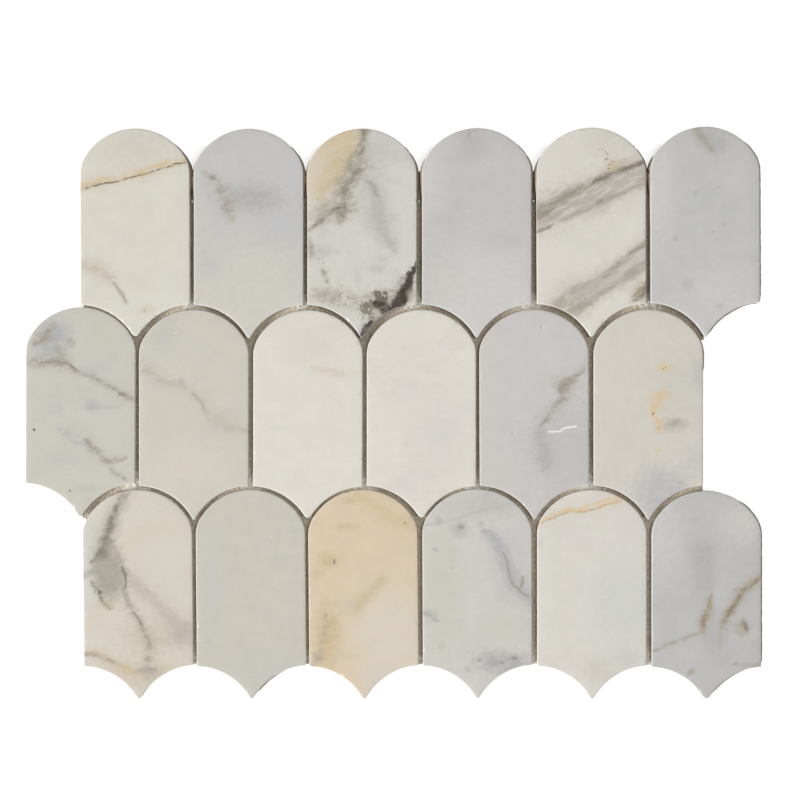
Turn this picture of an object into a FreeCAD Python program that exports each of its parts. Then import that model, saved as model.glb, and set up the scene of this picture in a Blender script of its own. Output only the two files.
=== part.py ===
"""A fish scale mosaic sheet: marble chips set by hand in staggered rows on a net backing.

Each chip has a round crown, eased into two straight flanks by a tighter haunch, and a foot of
two scallops that meet in a tip.  The scallops clear the crowns of the two chips below by one row joint, so the tip drops
between those crowns and the rows lock together.  The net lies under the chips and under the
joints between them, and is trimmed to stay inside the outline of the sheet.

Frame: millimetres, +Z up through the thickness, +X along the rows and +Y towards the crowns.
The origin is at the middle of the sheet's outline, on the back of the net.
"""
import FreeCAD
import Part
import math
import os

from FreeCAD import Vector

# The chips
CHIP_WIDTH = 48.0
CHIP_LENGTH = 91.9  # from the top of the crown to the sides of a sharp tip
CHIP_THICKNESS = 9.5
CROWN_EASE = 1.75  # what the crown's radius has over half the width: it is flatter than half-round
HAUNCH_RADIUS = 14.0  # where the crown turns into the flanks
ARRIS = 0.5  # the eased edge round the face of each chip
SHARP_TIP = 1.0  # widths of the tips, from a crisp one to one that has lost its point
BLUNT_TIP = 1.6
BROAD_TIP = 2.8
TIP_BULGE = 0.6  # how far a tip bulges, as a share of half its width

# The layout
COLUMNS = 6
FLANK_JOINT = 2.0  # between the flanks of two chips in a row
ROW_JOINT = 2.1  # between a crown and the scallops above it

# The net
NET_THICKNESS = 0.5
NET_MARGIN = 1.2  # how far inside the edges of the chips the net stops
NET_IN_NOTCH = 6.4  # how far the net shows in the notches between the crowns of the top row

CROWN_RADIUS = CHIP_WIDTH / 2 + CROWN_EASE
COLUMN_PITCH = CHIP_WIDTH + FLANK_JOINT
SCALLOP_RADIUS = CROWN_RADIUS + ROW_JOINT
NET_LAP = CROWN_RADIUS / 3  # how far a strip of net under a joint runs into the patches beside it
HALF_TURN = 180.0
Z_AXIS = Vector(0, 0, 1)

# The chips as they were laid, row by row from the top, each row from left to right.  Each chip
# has its creep to the right and its creep upwards from its even place, both in joint widths,
# its turn anticlockwise in degrees, and the width of its tip.
LAID_ROWS = (
    (
        (-0.20, -0.05, 0.2, BROAD_TIP),
        (-0.30, -0.10, 0.0, BLUNT_TIP),
        (-0.40, -0.05, 0.0, SHARP_TIP),
        (-0.20, 0.05, 0.0, BLUNT_TIP),
        (0.00, 0.15, 0.2, BLUNT_TIP),
        (0.00, 0.35, 0.2, SHARP_TIP),
    ),
    (
        (0.25, 0.35, -0.2, BLUNT_TIP),
        (0.15, -0.15, 0.0, SHARP_TIP),
        (0.20, -0.25, -0.1, BROAD_TIP),
        (0.15, -0.15, 0.0, BROAD_TIP),
        (-0.05, -0.10, 0.2, SHARP_TIP),
        (0.00, -0.10, 0.0, SHARP_TIP),
    ),
    (
        (0.50, 0.00, 0.6, BLUNT_TIP),
        (0.30, 0.00, 0.5, BLUNT_TIP),
        (0.00, 0.00, 0.5, BLUNT_TIP),
        (-0.05, 0.10, 0.2, BLUNT_TIP),
        (0.10, 0.00, 0.0, BLUNT_TIP),
        (0.25, -0.25, 0.0, BROAD_TIP),
    ),
)


def tip_height(tip_width):
    """How far a tip ends above the centres of the two crowns that it drops between."""
    return math.sqrt(SCALLOP_RADIUS**2 - ((COLUMN_PITCH - tip_width) / 2) ** 2)


ROW_PITCH = CHIP_LENGTH - CROWN_RADIUS + tip_height(SHARP_TIP)


def on_circle(centre, radius, degrees):
    """The point of a circle at an angle."""
    angle = math.radians(degrees)
    return centre + Vector(radius * math.cos(angle), radius * math.sin(angle), 0)


def arc(centre, radius, start, end):
    """An arc edge from one angle to another, in degrees, by way of their middle."""
    middle = (start + end) / 2
    return Part.Arc(*[on_circle(centre, radius, a) for a in (start, middle, end)]).toShape()


def line(start, end):
    """A straight edge between two points."""
    return Part.LineSegment(start, end).toShape()


def scallop_angle(off_axis, radius):
    """The angle, at the centre of a scallop, of its point that far from the axis of the chip."""
    return math.degrees(math.acos((COLUMN_PITCH / 2 - off_axis) / radius))


def haunch_centre():
    """The centre of the right haunch, which meets the flank and the crown without a corner."""
    x = CHIP_WIDTH / 2 - HAUNCH_RADIUS
    return Vector(x, math.sqrt((CROWN_RADIUS - HAUNCH_RADIUS) ** 2 - x**2), 0)


def chip_face(tip_width, inset=0.0):
    """The plan of a chip about the centre of its crown, drawn in from its edges by inset."""
    half_width = CHIP_WIDTH / 2 - inset
    half_tip = tip_width / 2
    right_haunch = haunch_centre()
    left_haunch = Vector(-right_haunch.x, right_haunch.y, 0)
    haunch = HAUNCH_RADIUS - inset
    spread = math.degrees(math.atan2(right_haunch.y, right_haunch.x))
    radius = SCALLOP_RADIUS + inset
    centre = Vector(COLUMN_PITCH / 2, -ROW_PITCH, 0)
    mirrored = Vector(-centre.x, centre.y, 0)
    foot = scallop_angle(half_width, radius)
    tip = scallop_angle(half_tip, radius)
    foot_y = on_circle(mirrored, radius, foot).y
    tip_y = on_circle(mirrored, radius, tip).y
    tip_end = Part.Arc(
        Vector(-half_tip, tip_y, 0),
        Vector(0, tip_y - TIP_BULGE * half_tip, 0),
        Vector(half_tip, tip_y, 0),
    )
    outline = [
        arc(right_haunch, haunch, 0, spread),
        arc(Vector(0, 0, 0), CROWN_RADIUS - inset, spread, HALF_TURN - spread),
        arc(left_haunch, haunch, HALF_TURN - spread, HALF_TURN),
        line(Vector(-half_width, left_haunch.y, 0), Vector(-half_width, foot_y, 0)),
        arc(mirrored, radius, foot, tip),
        tip_end.toShape(),
        arc(centre, radius, HALF_TURN - tip, HALF_TURN - foot),
        line(Vector(half_width, foot_y, 0), Vector(half_width, right_haunch.y, 0)),
    ]
    return Part.Face(Part.Wire(outline))


def even_place(row, column):
    """The centre of a crown in the even pattern.  Every second row is half a pitch to the left."""
    stagger = COLUMN_PITCH / 2 if row % 2 else 0.0
    return Vector(column * COLUMN_PITCH - stagger, -row * ROW_PITCH, 0)


def laid_chip(row, column):
    """Creep, turn and tip width of a chip.  Columns past the end of a row begin it again."""
    chips = LAID_ROWS[row]
    return chips[column % len(chips)]


def laid_place(row, column):
    """The placement of a chip in plan: its even place, its creep and its turn."""
    creep_x, creep_y, turn, _ = laid_chip(row, column)
    creep = Vector(creep_x * FLANK_JOINT, creep_y * ROW_JOINT, 0)
    about_middle = Vector(0, -ROW_PITCH / 2, 0)
    return FreeCAD.Placement(
        even_place(row, column) + creep,
        FreeCAD.Rotation(Z_AXIS, turn),
        about_middle,
    )


def marble_chip(row, column):
    """One chip, laid in its place on top of the net, its arris eased all round its face."""
    tip_width = laid_chip(row, column)[3]
    plan = chip_face(tip_width)
    shoulder = plan.OuterWire
    shoulder.translate(Z_AXIS * (CHIP_THICKNESS - ARRIS))
    rim = chip_face(tip_width, ARRIS).OuterWire
    rim.translate(Z_AXIS * CHIP_THICKNESS)
    eased_top = Part.makeLoft([shoulder, rim], True, True)
    body = plan.extrude(Z_AXIS * (CHIP_THICKNESS - ARRIS)).fuse(eased_top).removeSplitter()
    body.Placement = laid_place(row, column)
    body.translate(Z_AXIS * NET_THICKNESS)
    return body


def flank_strip(row, column):
    """Net under the joint between a chip and the next one in its row.

    It starts in the notch between two crowns, or under the tip that fills that notch, and it ends
    under the crown below, or just above the foot of the last row.
    """
    middle = even_place(row, column) + Vector(COLUMN_PITCH / 2, 0, 0)
    half_width = FLANK_JOINT / 2 + NET_LAP
    foot = SCALLOP_RADIUS - ROW_PITCH
    top = tip_height(SHARP_TIP) + NET_LAP if row else NET_IN_NOTCH
    bottom = foot - ROW_JOINT - NET_LAP if row + 1 < len(LAID_ROWS) else foot + NET_MARGIN
    corner = middle + Vector(-half_width, bottom, 0)
    return Part.makePlane(2 * half_width, top - bottom, corner)


def scallop_strip(row, column, side):
    """Net under the joint between the left (-1) or right (1) scallop of a chip and a crown.

    It is a ring about that crown, as far as it lies under this side of the chip.
    """
    chip = even_place(row, column)
    crown = chip + Vector(side * COLUMN_PITCH / 2, -ROW_PITCH, 0)
    outer = Part.Face(Part.Wire(Part.Circle(crown, Z_AXIS, SCALLOP_RADIUS + NET_LAP).toShape()))
    inner = Part.Face(Part.Wire(Part.Circle(crown, Z_AXIS, CROWN_RADIUS - NET_LAP).toShape()))
    width = CHIP_WIDTH / 2 - NET_MARGIN
    lowest = crown.y + tip_height(laid_chip(row, column)[3]) + NET_MARGIN
    side_corner = Vector(min(chip.x, chip.x + side * width), lowest, 0)
    under_chip = Part.makePlane(width, SCALLOP_RADIUS + NET_LAP, side_corner)
    return outer.cut(inner).common(under_chip)


def has_chip_below(row, column, side):
    """Whether a chip stands under the left (-1) or the right (1) scallop of another one."""
    step = (side + 1) // 2 if row % 2 == 0 else (side - 1) // 2
    return row + 1 < len(LAID_ROWS) and 0 <= column + step < COLUMNS


def net_backing(cells):
    """The net: a patch under each chip, joined by strips under the joints, all in one piece."""
    plan = []
    for row, column in cells:
        patch = chip_face(laid_chip(row, column)[3], NET_MARGIN)
        patch.Placement = laid_place(row, column)
        plan.append(patch)
        if column + 1 < COLUMNS:
            plan.append(flank_strip(row, column))
        for side in (-1, 1):
            if has_chip_below(row, column, side):
                plan.append(scallop_strip(row, column, side))
    slabs = [face.extrude(Z_AXIS * NET_THICKNESS) for face in plan]
    return slabs[0].multiFuse(slabs[1:]).removeSplitter()


def main():
    """Builds every piece, centres the sheet on the origin and writes one STEP file a piece."""
    cells = [(row, column) for row in range(len(LAID_ROWS)) for column in range(COLUMNS)]
    pieces = {f"chip_row{row + 1}_col{column + 1}": marble_chip(row, column) for row, column in cells}
    pieces["net_backing"] = net_backing(cells)
    box = Part.Compound(list(pieces.values())).optimalBoundingBox(False, False)
    os.makedirs("parts", exist_ok=True)
    for name, shape in pieces.items():
        shape.translate(Vector(-box.Center.x, -box.Center.y, 0))
        shape.exportStep(f"parts/{name}.step")
        print(name, "valid" if shape.isValid() else "broken", f"{shape.Volume:.0f} mm3")


main()
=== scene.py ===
"""Dresses the fish scale mosaic sheet: eighteen marble chips on a net, seen from straight above.

The chips stand where the frame has them.  Each gets a mesh with a worn arris, small nicks and sawn
walls, and a marble of its own, whose clouds, stains and veins are laid out in chip millimetres:
x to the right, y towards the crown, from the middle of the chip at the crown's shoulders.  The
net is woven from strands, and the glue that holds it shows in the joints.
"""

import logging
import math
import random
from dataclasses import dataclass, field
from enum import Enum
from typing import Any, Iterable, Sequence

import bpy
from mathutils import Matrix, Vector, noise
from mathutils.bvhtree import BVHTree

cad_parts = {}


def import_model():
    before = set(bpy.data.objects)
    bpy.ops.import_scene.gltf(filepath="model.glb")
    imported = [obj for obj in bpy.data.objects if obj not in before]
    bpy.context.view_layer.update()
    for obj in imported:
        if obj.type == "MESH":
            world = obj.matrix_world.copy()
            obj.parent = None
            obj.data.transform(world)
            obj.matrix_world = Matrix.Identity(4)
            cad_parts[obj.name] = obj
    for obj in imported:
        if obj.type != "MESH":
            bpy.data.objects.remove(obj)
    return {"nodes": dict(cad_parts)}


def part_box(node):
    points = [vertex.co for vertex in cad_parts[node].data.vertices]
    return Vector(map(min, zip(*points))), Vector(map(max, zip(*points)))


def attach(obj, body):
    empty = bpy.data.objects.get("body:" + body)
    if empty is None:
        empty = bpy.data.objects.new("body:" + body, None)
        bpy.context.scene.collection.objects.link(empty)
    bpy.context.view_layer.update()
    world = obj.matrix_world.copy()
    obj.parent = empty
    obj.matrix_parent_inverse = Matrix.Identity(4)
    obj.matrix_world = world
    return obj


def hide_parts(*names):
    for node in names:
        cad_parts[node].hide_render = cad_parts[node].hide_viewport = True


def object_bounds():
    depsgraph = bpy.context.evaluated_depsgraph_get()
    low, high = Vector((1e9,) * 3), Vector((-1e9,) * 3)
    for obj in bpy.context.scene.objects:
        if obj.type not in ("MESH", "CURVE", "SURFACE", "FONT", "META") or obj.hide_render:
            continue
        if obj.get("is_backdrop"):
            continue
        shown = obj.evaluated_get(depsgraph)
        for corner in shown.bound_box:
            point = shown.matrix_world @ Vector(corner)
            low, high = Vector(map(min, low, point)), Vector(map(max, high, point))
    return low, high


log = logging.getLogger("fish_scale_sheet")

MM = 0.001
THROUGH = 1000.0  # how far a marking goes down into the stone, which is all through it
Point = tuple[float, float]
Point3 = tuple[float, float, float]
Node = bpy.types.Node
Tree = bpy.types.NodeTree


class Tip(Enum):
    """How worn the tip of a chip is: the width of its end in millimetres."""

    SHARP = 1.0
    BLUNT = 1.6
    BROAD = 2.8


def linear(hex_colour: str) -> tuple[float, float, float, float]:
    """Turns an sRGB hex colour into linear light.

    Args:
        hex_colour: six hex digits after a hash mark.

    Returns:
        Red, green, blue and an alpha of 1.
    """
    parts = [int(hex_colour[i : i + 2], 16) / 255 for i in (1, 3, 5)]
    red, green, blue = [
        part / 12.92 if part <= 0.04045 else ((part + 0.055) / 1.055) ** 2.4 for part in parts
    ]
    return red, green, blue, 1.0


def add_node(tree: Tree, kind: str, inputs: dict[int | str, Any] | None = None, **settings: Any) -> Node:
    """Adds a shader node to a tree.

    Args:
        tree: the tree that gets the node.
        kind: the type name of the node, after the word ShaderNode.
        inputs: for each input, by name or number, its own value or what feeds it, which is a
            socket, or a node that feeds it by its first output in use.
        **settings: the node's properties.

    Returns:
        The node.
    """
    node = tree.nodes.new("ShaderNode" + kind)
    for name, value in settings.items():
        setattr(node, name, value)
    for key, value in (inputs or {}).items():
        if isinstance(value, Node):
            value = next(socket for socket in value.outputs if socket.enabled)
        if isinstance(value, bpy.types.NodeSocket):
            tree.links.new(value, node.inputs[key])
        else:
            node.inputs[key].default_value = value
    return node


def new_material(name: str) -> tuple[bpy.types.Material, Tree]:
    """Makes a material with an empty node tree.

    Args:
        name: the material's name.

    Returns:
        The material and its tree.
    """
    material = bpy.data.materials.new(name)
    material.use_nodes = True
    material.node_tree.nodes.clear()
    return material, material.node_tree


def mesh_object(
    name: str,
    points: Sequence[Sequence[float]],
    faces: Sequence[Sequence[int]],
    material: bpy.types.Material,
    flat_faces: Iterable[int] = (),
) -> bpy.types.Object:
    """Makes a smooth-shaded mesh object in the scene.

    Args:
        name: the object's name.
        points: the vertices, in metres in the sheet's frame.
        faces: the vertex numbers of each face.
        material: what it is made of.
        flat_faces: the numbers of the faces that are shaded flat.

    Returns:
        The object.
    """
    mesh = bpy.data.meshes.new(name)
    mesh.from_pydata([tuple(point) for point in points], [], [tuple(face) for face in faces])
    mesh.validate()
    mesh.polygons.foreach_set("use_smooth", [True] * len(mesh.polygons))
    for number in flat_faces:
        mesh.polygons[number].use_smooth = False
    mesh.materials.append(material)
    mesh.update()
    piece = bpy.data.objects.new(name, mesh)
    bpy.context.scene.collection.objects.link(piece)
    return piece


@dataclass(frozen=True)
class Stain:
    """A soft patch of another colour in the marble, as an ellipse with worn edges.

    It begins at its rim, a share of its reach, and is at full strength an edge further in.  Its
    mottle is how much of it the blotches of the stone take away.
    """

    at: Point
    reach: Point
    colour: str
    strength: float = 1.0
    turn: float = 0.0
    edge: float = 1.0
    mottle: float = 0.3
    rim: float = 1.25

    def paint(self, tree: Tree, coat: "StoneCoat") -> None:
        """Mixes the stain over what the coat has so far.

        Args:
            tree: the marble's node tree.
            coat: the colour and the coordinates to work with.
        """
        distance = coat.off_middle(tree, self.at, self.reach, self.turn)
        ragged = add_node(tree, "Math", {0: distance, 1: coat.ragged}, operation="MULTIPLY")
        cover = add_node(tree, "MapRange", {
            "Value": ragged, "From Min": self.rim, "From Max": 1.1 - self.edge, "To Max": self.strength,
        }, interpolation_type="SMOOTHSTEP")
        coat.mix_in(tree, coat.blotched(tree, cover, self.mottle), self.colour)


@dataclass(frozen=True)
class Vein:
    """A vein along a path.  Each point has its place and the half width of the vein there.

    The core is how much of the width is at full strength, broken is how much of the vein its gaps
    take away, and the haze is what lies about it.  Both rims are in half widths.  A vein that is
    nowhere wider than a hairline has no haze and no blotches.
    """

    path: tuple[Point3, ...]
    colour: str
    strength: float = 1.0
    core: float = 0.0
    broken: float = 0.0
    haze: float = 0.4
    mottle: float = 0.6
    rim: float = 1.6
    haze_rim: float = 2.9
    hairline: float = 0.8

    def paint(self, tree: Tree, coat: "StoneCoat") -> None:
        """Mixes the vein over what the coat has so far.

        The path is written as a curve over the straight line from its first to its last point.

        Args:
            tree: the marble's node tree.
            coat: the colour and the coordinates to work with.
        """
        start, end = Vector(self.path[0][:2]), Vector(self.path[-1][:2])
        along = (end - start).normalized()
        across = Vector((-along.y, along.x))
        length = (end - start).length
        steps = [Vector(point[:2]) - start for point in self.path]
        span = 2.0 * max(abs(step.dot(across)) for step in steps) + 1.0
        corner = start - across * span / 2
        widest = max(point[2] for point in self.path)
        place = add_node(tree, "Mapping", {
            "Vector": coat.warped,
            "Location": (*corner, 0.0),
            "Rotation": (0.0, 0.0, math.atan2(along.y, along.x)),
            "Scale": (length, span, 1.0),
        }, vector_type="TEXTURE")
        parts = add_node(tree, "SeparateXYZ", {0: place})
        run = add_node(tree, "Clamp", {"Value": parts.outputs["X"]})
        line = add_node(tree, "FloatCurve", {"Value": run})
        set_curve(line, [(s.dot(along) / length, s.dot(across) / span + 0.5) for s in steps])
        width = add_node(tree, "FloatCurve", {"Value": run})
        set_curve(width, [(s.dot(along) / length, p[2] / widest) for s, p in zip(steps, self.path)])
        on_line = add_node(tree, "CombineXYZ", {0: run, 1: line, 2: parts.outputs["Z"]})
        off = add_node(tree, "VectorMath", {0: place, 1: on_line}, operation="SUBTRACT")
        scaled = add_node(tree, "VectorMath", {0: off, 1: (length / span, 1.0, 0.0)}, operation="MULTIPLY")
        distance = add_node(tree, "VectorMath", {0: scaled}, operation="LENGTH")
        reach = add_node(tree, "Math", {0: width, 1: widest / span, 2: 0.0001}, operation="MULTIPLY_ADD")
        share = add_node(tree, "Math", {0: distance, 1: reach}, operation="DIVIDE")
        ragged = add_node(tree, "Math", {0: share, 1: coat.ragged}, operation="MULTIPLY")
        factor = add_node(tree, "MapRange", {
            "Value": ragged,
            "From Min": self.rim,
            "From Max": 0.2 + 0.8 * self.core,
            "To Max": self.strength,
        }, interpolation_type="SMOOTHSTEP")
        if widest > self.hairline:
            haze = add_node(tree, "MapRange", {
                "Value": ragged,
                "From Min": self.haze_rim,
                "From Max": 0.4,
                "To Max": self.strength * self.haze,
            }, interpolation_type="SMOOTHSTEP")
            both = add_node(tree, "Math", {0: factor, 1: haze}, operation="MAXIMUM")
            factor = coat.blotched(tree, both, self.mottle)
        if self.broken:
            gaps = add_node(tree, "MapRange", {
                "Value": coat.gaps, "From Min": self.broken - 0.15, "From Max": self.broken + 0.1,
            }, interpolation_type="SMOOTHSTEP")
            factor = add_node(tree, "Math", {0: factor, 1: gaps}, operation="MULTIPLY")
        coat.mix_in(tree, factor, self.colour)


@dataclass(frozen=True)
class Breccia:
    """A patch where the marble was crushed and healed: ragged dark islands between pale pieces.

    The fill is how much of the patch the islands take up, and half of it is 0.5.
    """

    at: Point
    reach: Point
    colour: str
    piece_size: float
    strength: float = 1.0
    turn: float = 0.0
    fill: float = 0.5

    def paint(self, tree: Tree, coat: "StoneCoat") -> None:
        """Mixes the dark islands over what the coat has so far.

        Args:
            tree: the marble's node tree.
            coat: the colour and the coordinates to work with.
        """
        islands = add_node(tree, "TexNoise", {
            "Vector": coat.warped,
            "Scale": 1.0 / self.piece_size,
            "Detail": 7.0,
            "Roughness": 0.68,
            "Distortion": 1.2,
        })
        distance = coat.off_middle(tree, self.at, self.reach, self.turn)
        zone = add_node(tree, "MapRange", {
            "Value": distance, "From Min": 1.0, "From Max": 0.2, "To Min": -0.3, "To Max": self.fill - 0.5,
        }, interpolation_type="SMOOTHSTEP")
        both = add_node(tree, "Math", {0: islands, 1: zone}, operation="ADD")
        cover = add_node(tree, "MapRange", {
            "Value": both, "From Min": 0.5, "From Max": 0.58, "To Max": self.strength,
        }, interpolation_type="SMOOTHSTEP")
        coat.mix_in(tree, cover, self.colour)


def set_curve(node: Node, points: Sequence[Point]) -> None:
    """Gives a float curve node its points.

    Args:
        node: the node.
        points: where the curve goes, from 0 to 1 both ways, in order.
    """
    curve = node.mapping.curves[0]
    curve.points[0].location = points[0]
    curve.points[1].location = points[-1]
    for point in points[1:-1]:
        curve.points.new(*point)
    node.mapping.update()


@dataclass
class StoneCoat:
    """What the features of a marble paint on: the colour so far, and the fields they share."""

    colour: Node
    warped: Node
    ragged: Node
    gaps: Node
    blotches: Node

    def off_middle(self, tree: Tree, at: Point, reach: Point, turn: float) -> Node:
        """Measures how far each place is from the middle of an ellipse.

        Args:
            tree: the marble's node tree.
            at: the middle of the ellipse.
            reach: its two half widths, which both count as a distance of 1.
            turn: how it is turned, in degrees.

        Returns:
            The node that gives the distance.
        """
        place = add_node(tree, "Mapping", {
            "Vector": self.warped,
            "Location": (*at, 0.0),
            "Rotation": (0.0, 0.0, math.radians(turn)),
            "Scale": (*reach, THROUGH),
        }, vector_type="TEXTURE")
        return add_node(tree, "VectorMath", {0: place}, operation="LENGTH")

    def blotched(self, tree: Tree, factor: Node, mottle: float) -> Node:
        """Breaks a feature up into the blotches of the stone.

        Args:
            tree: the marble's node tree.
            factor: how much of the feature shows at each place.
            mottle: how much of it the blotches take away where they are weakest.

        Returns:
            The broken up factor.
        """
        keep = add_node(
            tree, "Math", {0: self.blotches, 1: mottle, 2: 1.0 - mottle}, operation="MULTIPLY_ADD"
        )
        return add_node(tree, "Math", {0: factor, 1: keep}, operation="MULTIPLY")

    def mix_in(self, tree: Tree, factor: Node, hex_colour: str) -> None:
        """Lays a colour over the coat.

        Args:
            tree: the marble's node tree.
            factor: how much of the colour shows at each place.
            hex_colour: the colour.
        """
        self.colour = add_node(
            tree, "Mix", {0: factor, 6: self.colour, 7: linear(hex_colour)}, data_type="RGBA"
        )


@dataclass(frozen=True)
class HonedMarble:
    """Calcite marble of a white and gold vein kind, sawn, cut by water jet and honed.

    The honed face is smooth but not polished, so it gives a broad soft sheen and no clear
    reflection.  The ground is two close tones in clouds tens of millimetres across, with a fine
    mottle of the grain.  The cut walls have the upright lines of the jet and grow darker and browner
    towards their foot, and the arris has a painted highlight, a paler colour all round it.

    Sizes are in millimetres.  Drawn is how far the blotches are drawn out the way the clouds are
    turned.  Warp and curl are how far the wide bends and the small curls move the features.
    """

    name: str
    ground: str
    cloud: str
    features: tuple[Stain | Vein | Breccia, ...]
    cloud_share: float = 0.5
    cloud_size: float = 26.0
    cloud_turn: float = 20.0
    drawn: float = 1.5
    warp: float = 1.3
    curl: float = 1.1
    slot: str = "marble_ivory"
    bend_size: float = 7.0
    curl_size: float = 1.7
    fray_size: float = 2.6
    gap_size: float = 4.5
    smoke_size: float = 3.4
    grain_size: float = 1.1
    jet_line_width: float = 0.45
    jet_line_length: float = 9.0
    relief: float = 0.25
    # a paler arris: a painted highlight, on the arris's shaded side too
    arris_highlight: str = "#F4F1EA"
    # the colour the walls grow towards at their foot, darker and browner
    wall_foot_colour: str = "#A79A86"
    ior: float = 1.49

    def material(self, middle: Vector, turn: float) -> bpy.types.Material:
        """Builds the material of a chip.

        Args:
            middle: the middle of the chip at its shoulders, in metres.
            turn: how the chip is turned, in degrees.

        Returns:
            The material.
        """
        material, tree = new_material(self.name)
        place = add_node(tree, "TexCoord")
        chip = add_node(tree, "Mapping", {
            "Vector": place.outputs["Object"],
            "Location": (middle.x, middle.y, 0.0),
            "Rotation": (0.0, 0.0, math.radians(turn)),
            "Scale": (MM, MM, MM),
        }, vector_type="TEXTURE")
        seeded = add_node(
            tree, "VectorMath", {0: chip, 1: (middle.x / MM, middle.y / MM, 0.0)}, operation="ADD"
        )
        coat = self.ground_coat(tree, chip, seeded)
        for feature in self.features:
            feature.paint(tree, coat)
        self.finish(tree, coat, chip, seeded)
        return material

    def ground_coat(self, tree: Tree, chip: Node, seeded: Node) -> StoneCoat:
        """Lays the two tones of the ground and makes the fields that bend and fray the features.

        Args:
            tree: the marble's node tree.
            chip: chip millimetres.
            seeded: chip millimetres moved so that no two chips share their noise.

        Returns:
            The coat.
        """
        bends, curls, fray, gaps = [
            add_node(tree, "TexNoise", {
                "Vector": seeded, "Scale": 1.0 / size, "Detail": detail, "Roughness": roughness,
            })
            for size, detail, roughness in (
                (self.bend_size, 5.0, 0.62),
                (self.curl_size, 4.0, 0.65),
                (self.fray_size, 6.0, 0.7),
                (self.gap_size, 2.0, 0.5),
            )
        ]
        warped = chip
        for shifts, amount in ((bends, 2 * self.warp), (curls, self.curl)):
            shift = add_node(
                tree, "VectorMath", {0: shifts.outputs["Color"], 1: (0.5, 0.5, 0.5)}, operation="SUBTRACT"
            )
            warped = add_node(tree, "VectorMath", {
                0: shift, 1: (amount, amount, 0.0), 2: warped,
            }, operation="MULTIPLY_ADD")
        ragged = add_node(tree, "MapRange", {
            "Value": fray, "From Min": 0.3, "From Max": 0.7, "To Min": 0.7, "To Max": 1.32,
        })
        stretched = add_node(tree, "Mapping", {
            "Vector": seeded,
            "Rotation": (0.0, 0.0, math.radians(self.cloud_turn)),
            "Scale": (self.cloud_size, self.cloud_size * 0.55, self.cloud_size),
        }, vector_type="TEXTURE")
        clouds = add_node(
            tree, "TexNoise", {"Vector": stretched, "Scale": 1.0, "Detail": 5.0, "Roughness": 0.55}
        )
        share = add_node(tree, "MapRange", {
            "Value": clouds,
            "From Min": 0.68 - 0.36 * self.cloud_share,
            "From Max": 0.98 - 0.36 * self.cloud_share,
        }, interpolation_type="SMOOTHSTEP")
        ground = add_node(
            tree, "Mix", {0: share, 6: linear(self.ground), 7: linear(self.cloud)}, data_type="RGBA"
        )
        smoke_size = self.smoke_size
        drawn_out = add_node(tree, "Mapping", {
            "Vector": seeded,
            "Rotation": (0.0, 0.0, math.radians(self.cloud_turn)),
            "Scale": (smoke_size * self.drawn, smoke_size / math.sqrt(self.drawn), smoke_size),
        }, vector_type="TEXTURE")
        smoke = add_node(tree, "TexNoise", {
            "Vector": drawn_out, "Scale": 1.0, "Detail": 6.0, "Roughness": 0.64, "Distortion": 0.4,
        })
        blotches = add_node(tree, "MapRange", {
            "Value": smoke, "From Min": 0.4, "From Max": 0.56,
        }, interpolation_type="SMOOTHSTEP")
        cloudy = add_node(tree, "MapRange", {
            "Value": bends, "From Min": 0.3, "From Max": 0.7, "To Min": 0.972, "To Max": 1.028,
        })
        coated = add_node(tree, "VectorMath", {0: ground, "Scale": cloudy}, operation="SCALE")
        return StoneCoat(coated, warped, ragged, gaps, blotches)

    def finish(self, tree: Tree, coat: StoneCoat, chip: Node, seeded: Node) -> None:
        """Adds the grain, the walls' jet lines and darker foot, the painted arris highlight and the shader.

        Args:
            tree: the marble's node tree.
            coat: the painted coat.
            chip: chip millimetres.
            seeded: chip millimetres with an offset for the noise.
        """
        grain = add_node(tree, "TexNoise", {
            "Vector": seeded, "Scale": 1.0 / self.grain_size, "Detail": 3.0, "Roughness": 0.6,
        })
        grain_light = add_node(tree, "MapRange", {
            "Value": grain, "From Min": 0.25, "From Max": 0.75, "To Min": 0.975, "To Max": 1.025,
        })
        grained = add_node(tree, "VectorMath", {0: coat.colour, "Scale": grain_light}, operation="SCALE")
        across = 1.0 / self.jet_line_width
        upright = add_node(tree, "VectorMath", {
            0: seeded, 1: (across, across, 1.0 / self.jet_line_length),
        }, operation="MULTIPLY")
        jet_lines = add_node(
            tree, "TexNoise", {"Vector": upright, "Scale": 1.0, "Detail": 2.0, "Roughness": 0.5}
        )
        facing = add_node(tree, "NewGeometry")
        tilt = add_node(tree, "SeparateXYZ", {0: facing.outputs["Normal"]})
        wall = add_node(tree, "MapRange", {"Value": tilt.outputs["Z"], "From Min": 0.5, "From Max": 0.1})
        relief = add_node(tree, "Math", {0: jet_lines, 1: wall}, operation="MULTIPLY")
        pitted = add_node(tree, "Math", {0: grain, 1: 0.12, 2: relief}, operation="MULTIPLY_ADD")
        bump = add_node(tree, "Bump", {"Strength": 0.35, "Distance": self.relief * MM, "Height": pitted})
        # The walls grow darker and browner towards their foot.
        depth = add_node(tree, "SeparateXYZ", {0: chip})
        ragged_height = add_node(tree, "Math", {0: depth.outputs["Z"], 1: jet_lines}, operation="DIVIDE")
        foot = add_node(tree, "MapRange", {
            "Value": ragged_height, "From Min": 11.0, "From Max": 2.0, "To Max": 0.55,
        }, interpolation_type="SMOOTHSTEP")
        foot_darkening = add_node(tree, "Math", {0: foot, 1: wall}, operation="MULTIPLY")
        sheen = add_node(tree, "MapRange", {
            "Value": tilt.outputs["Z"], "From Min": 0.8, "From Max": 0.999, "To Min": 0.24, "To Max": 0.42,
        })
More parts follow.
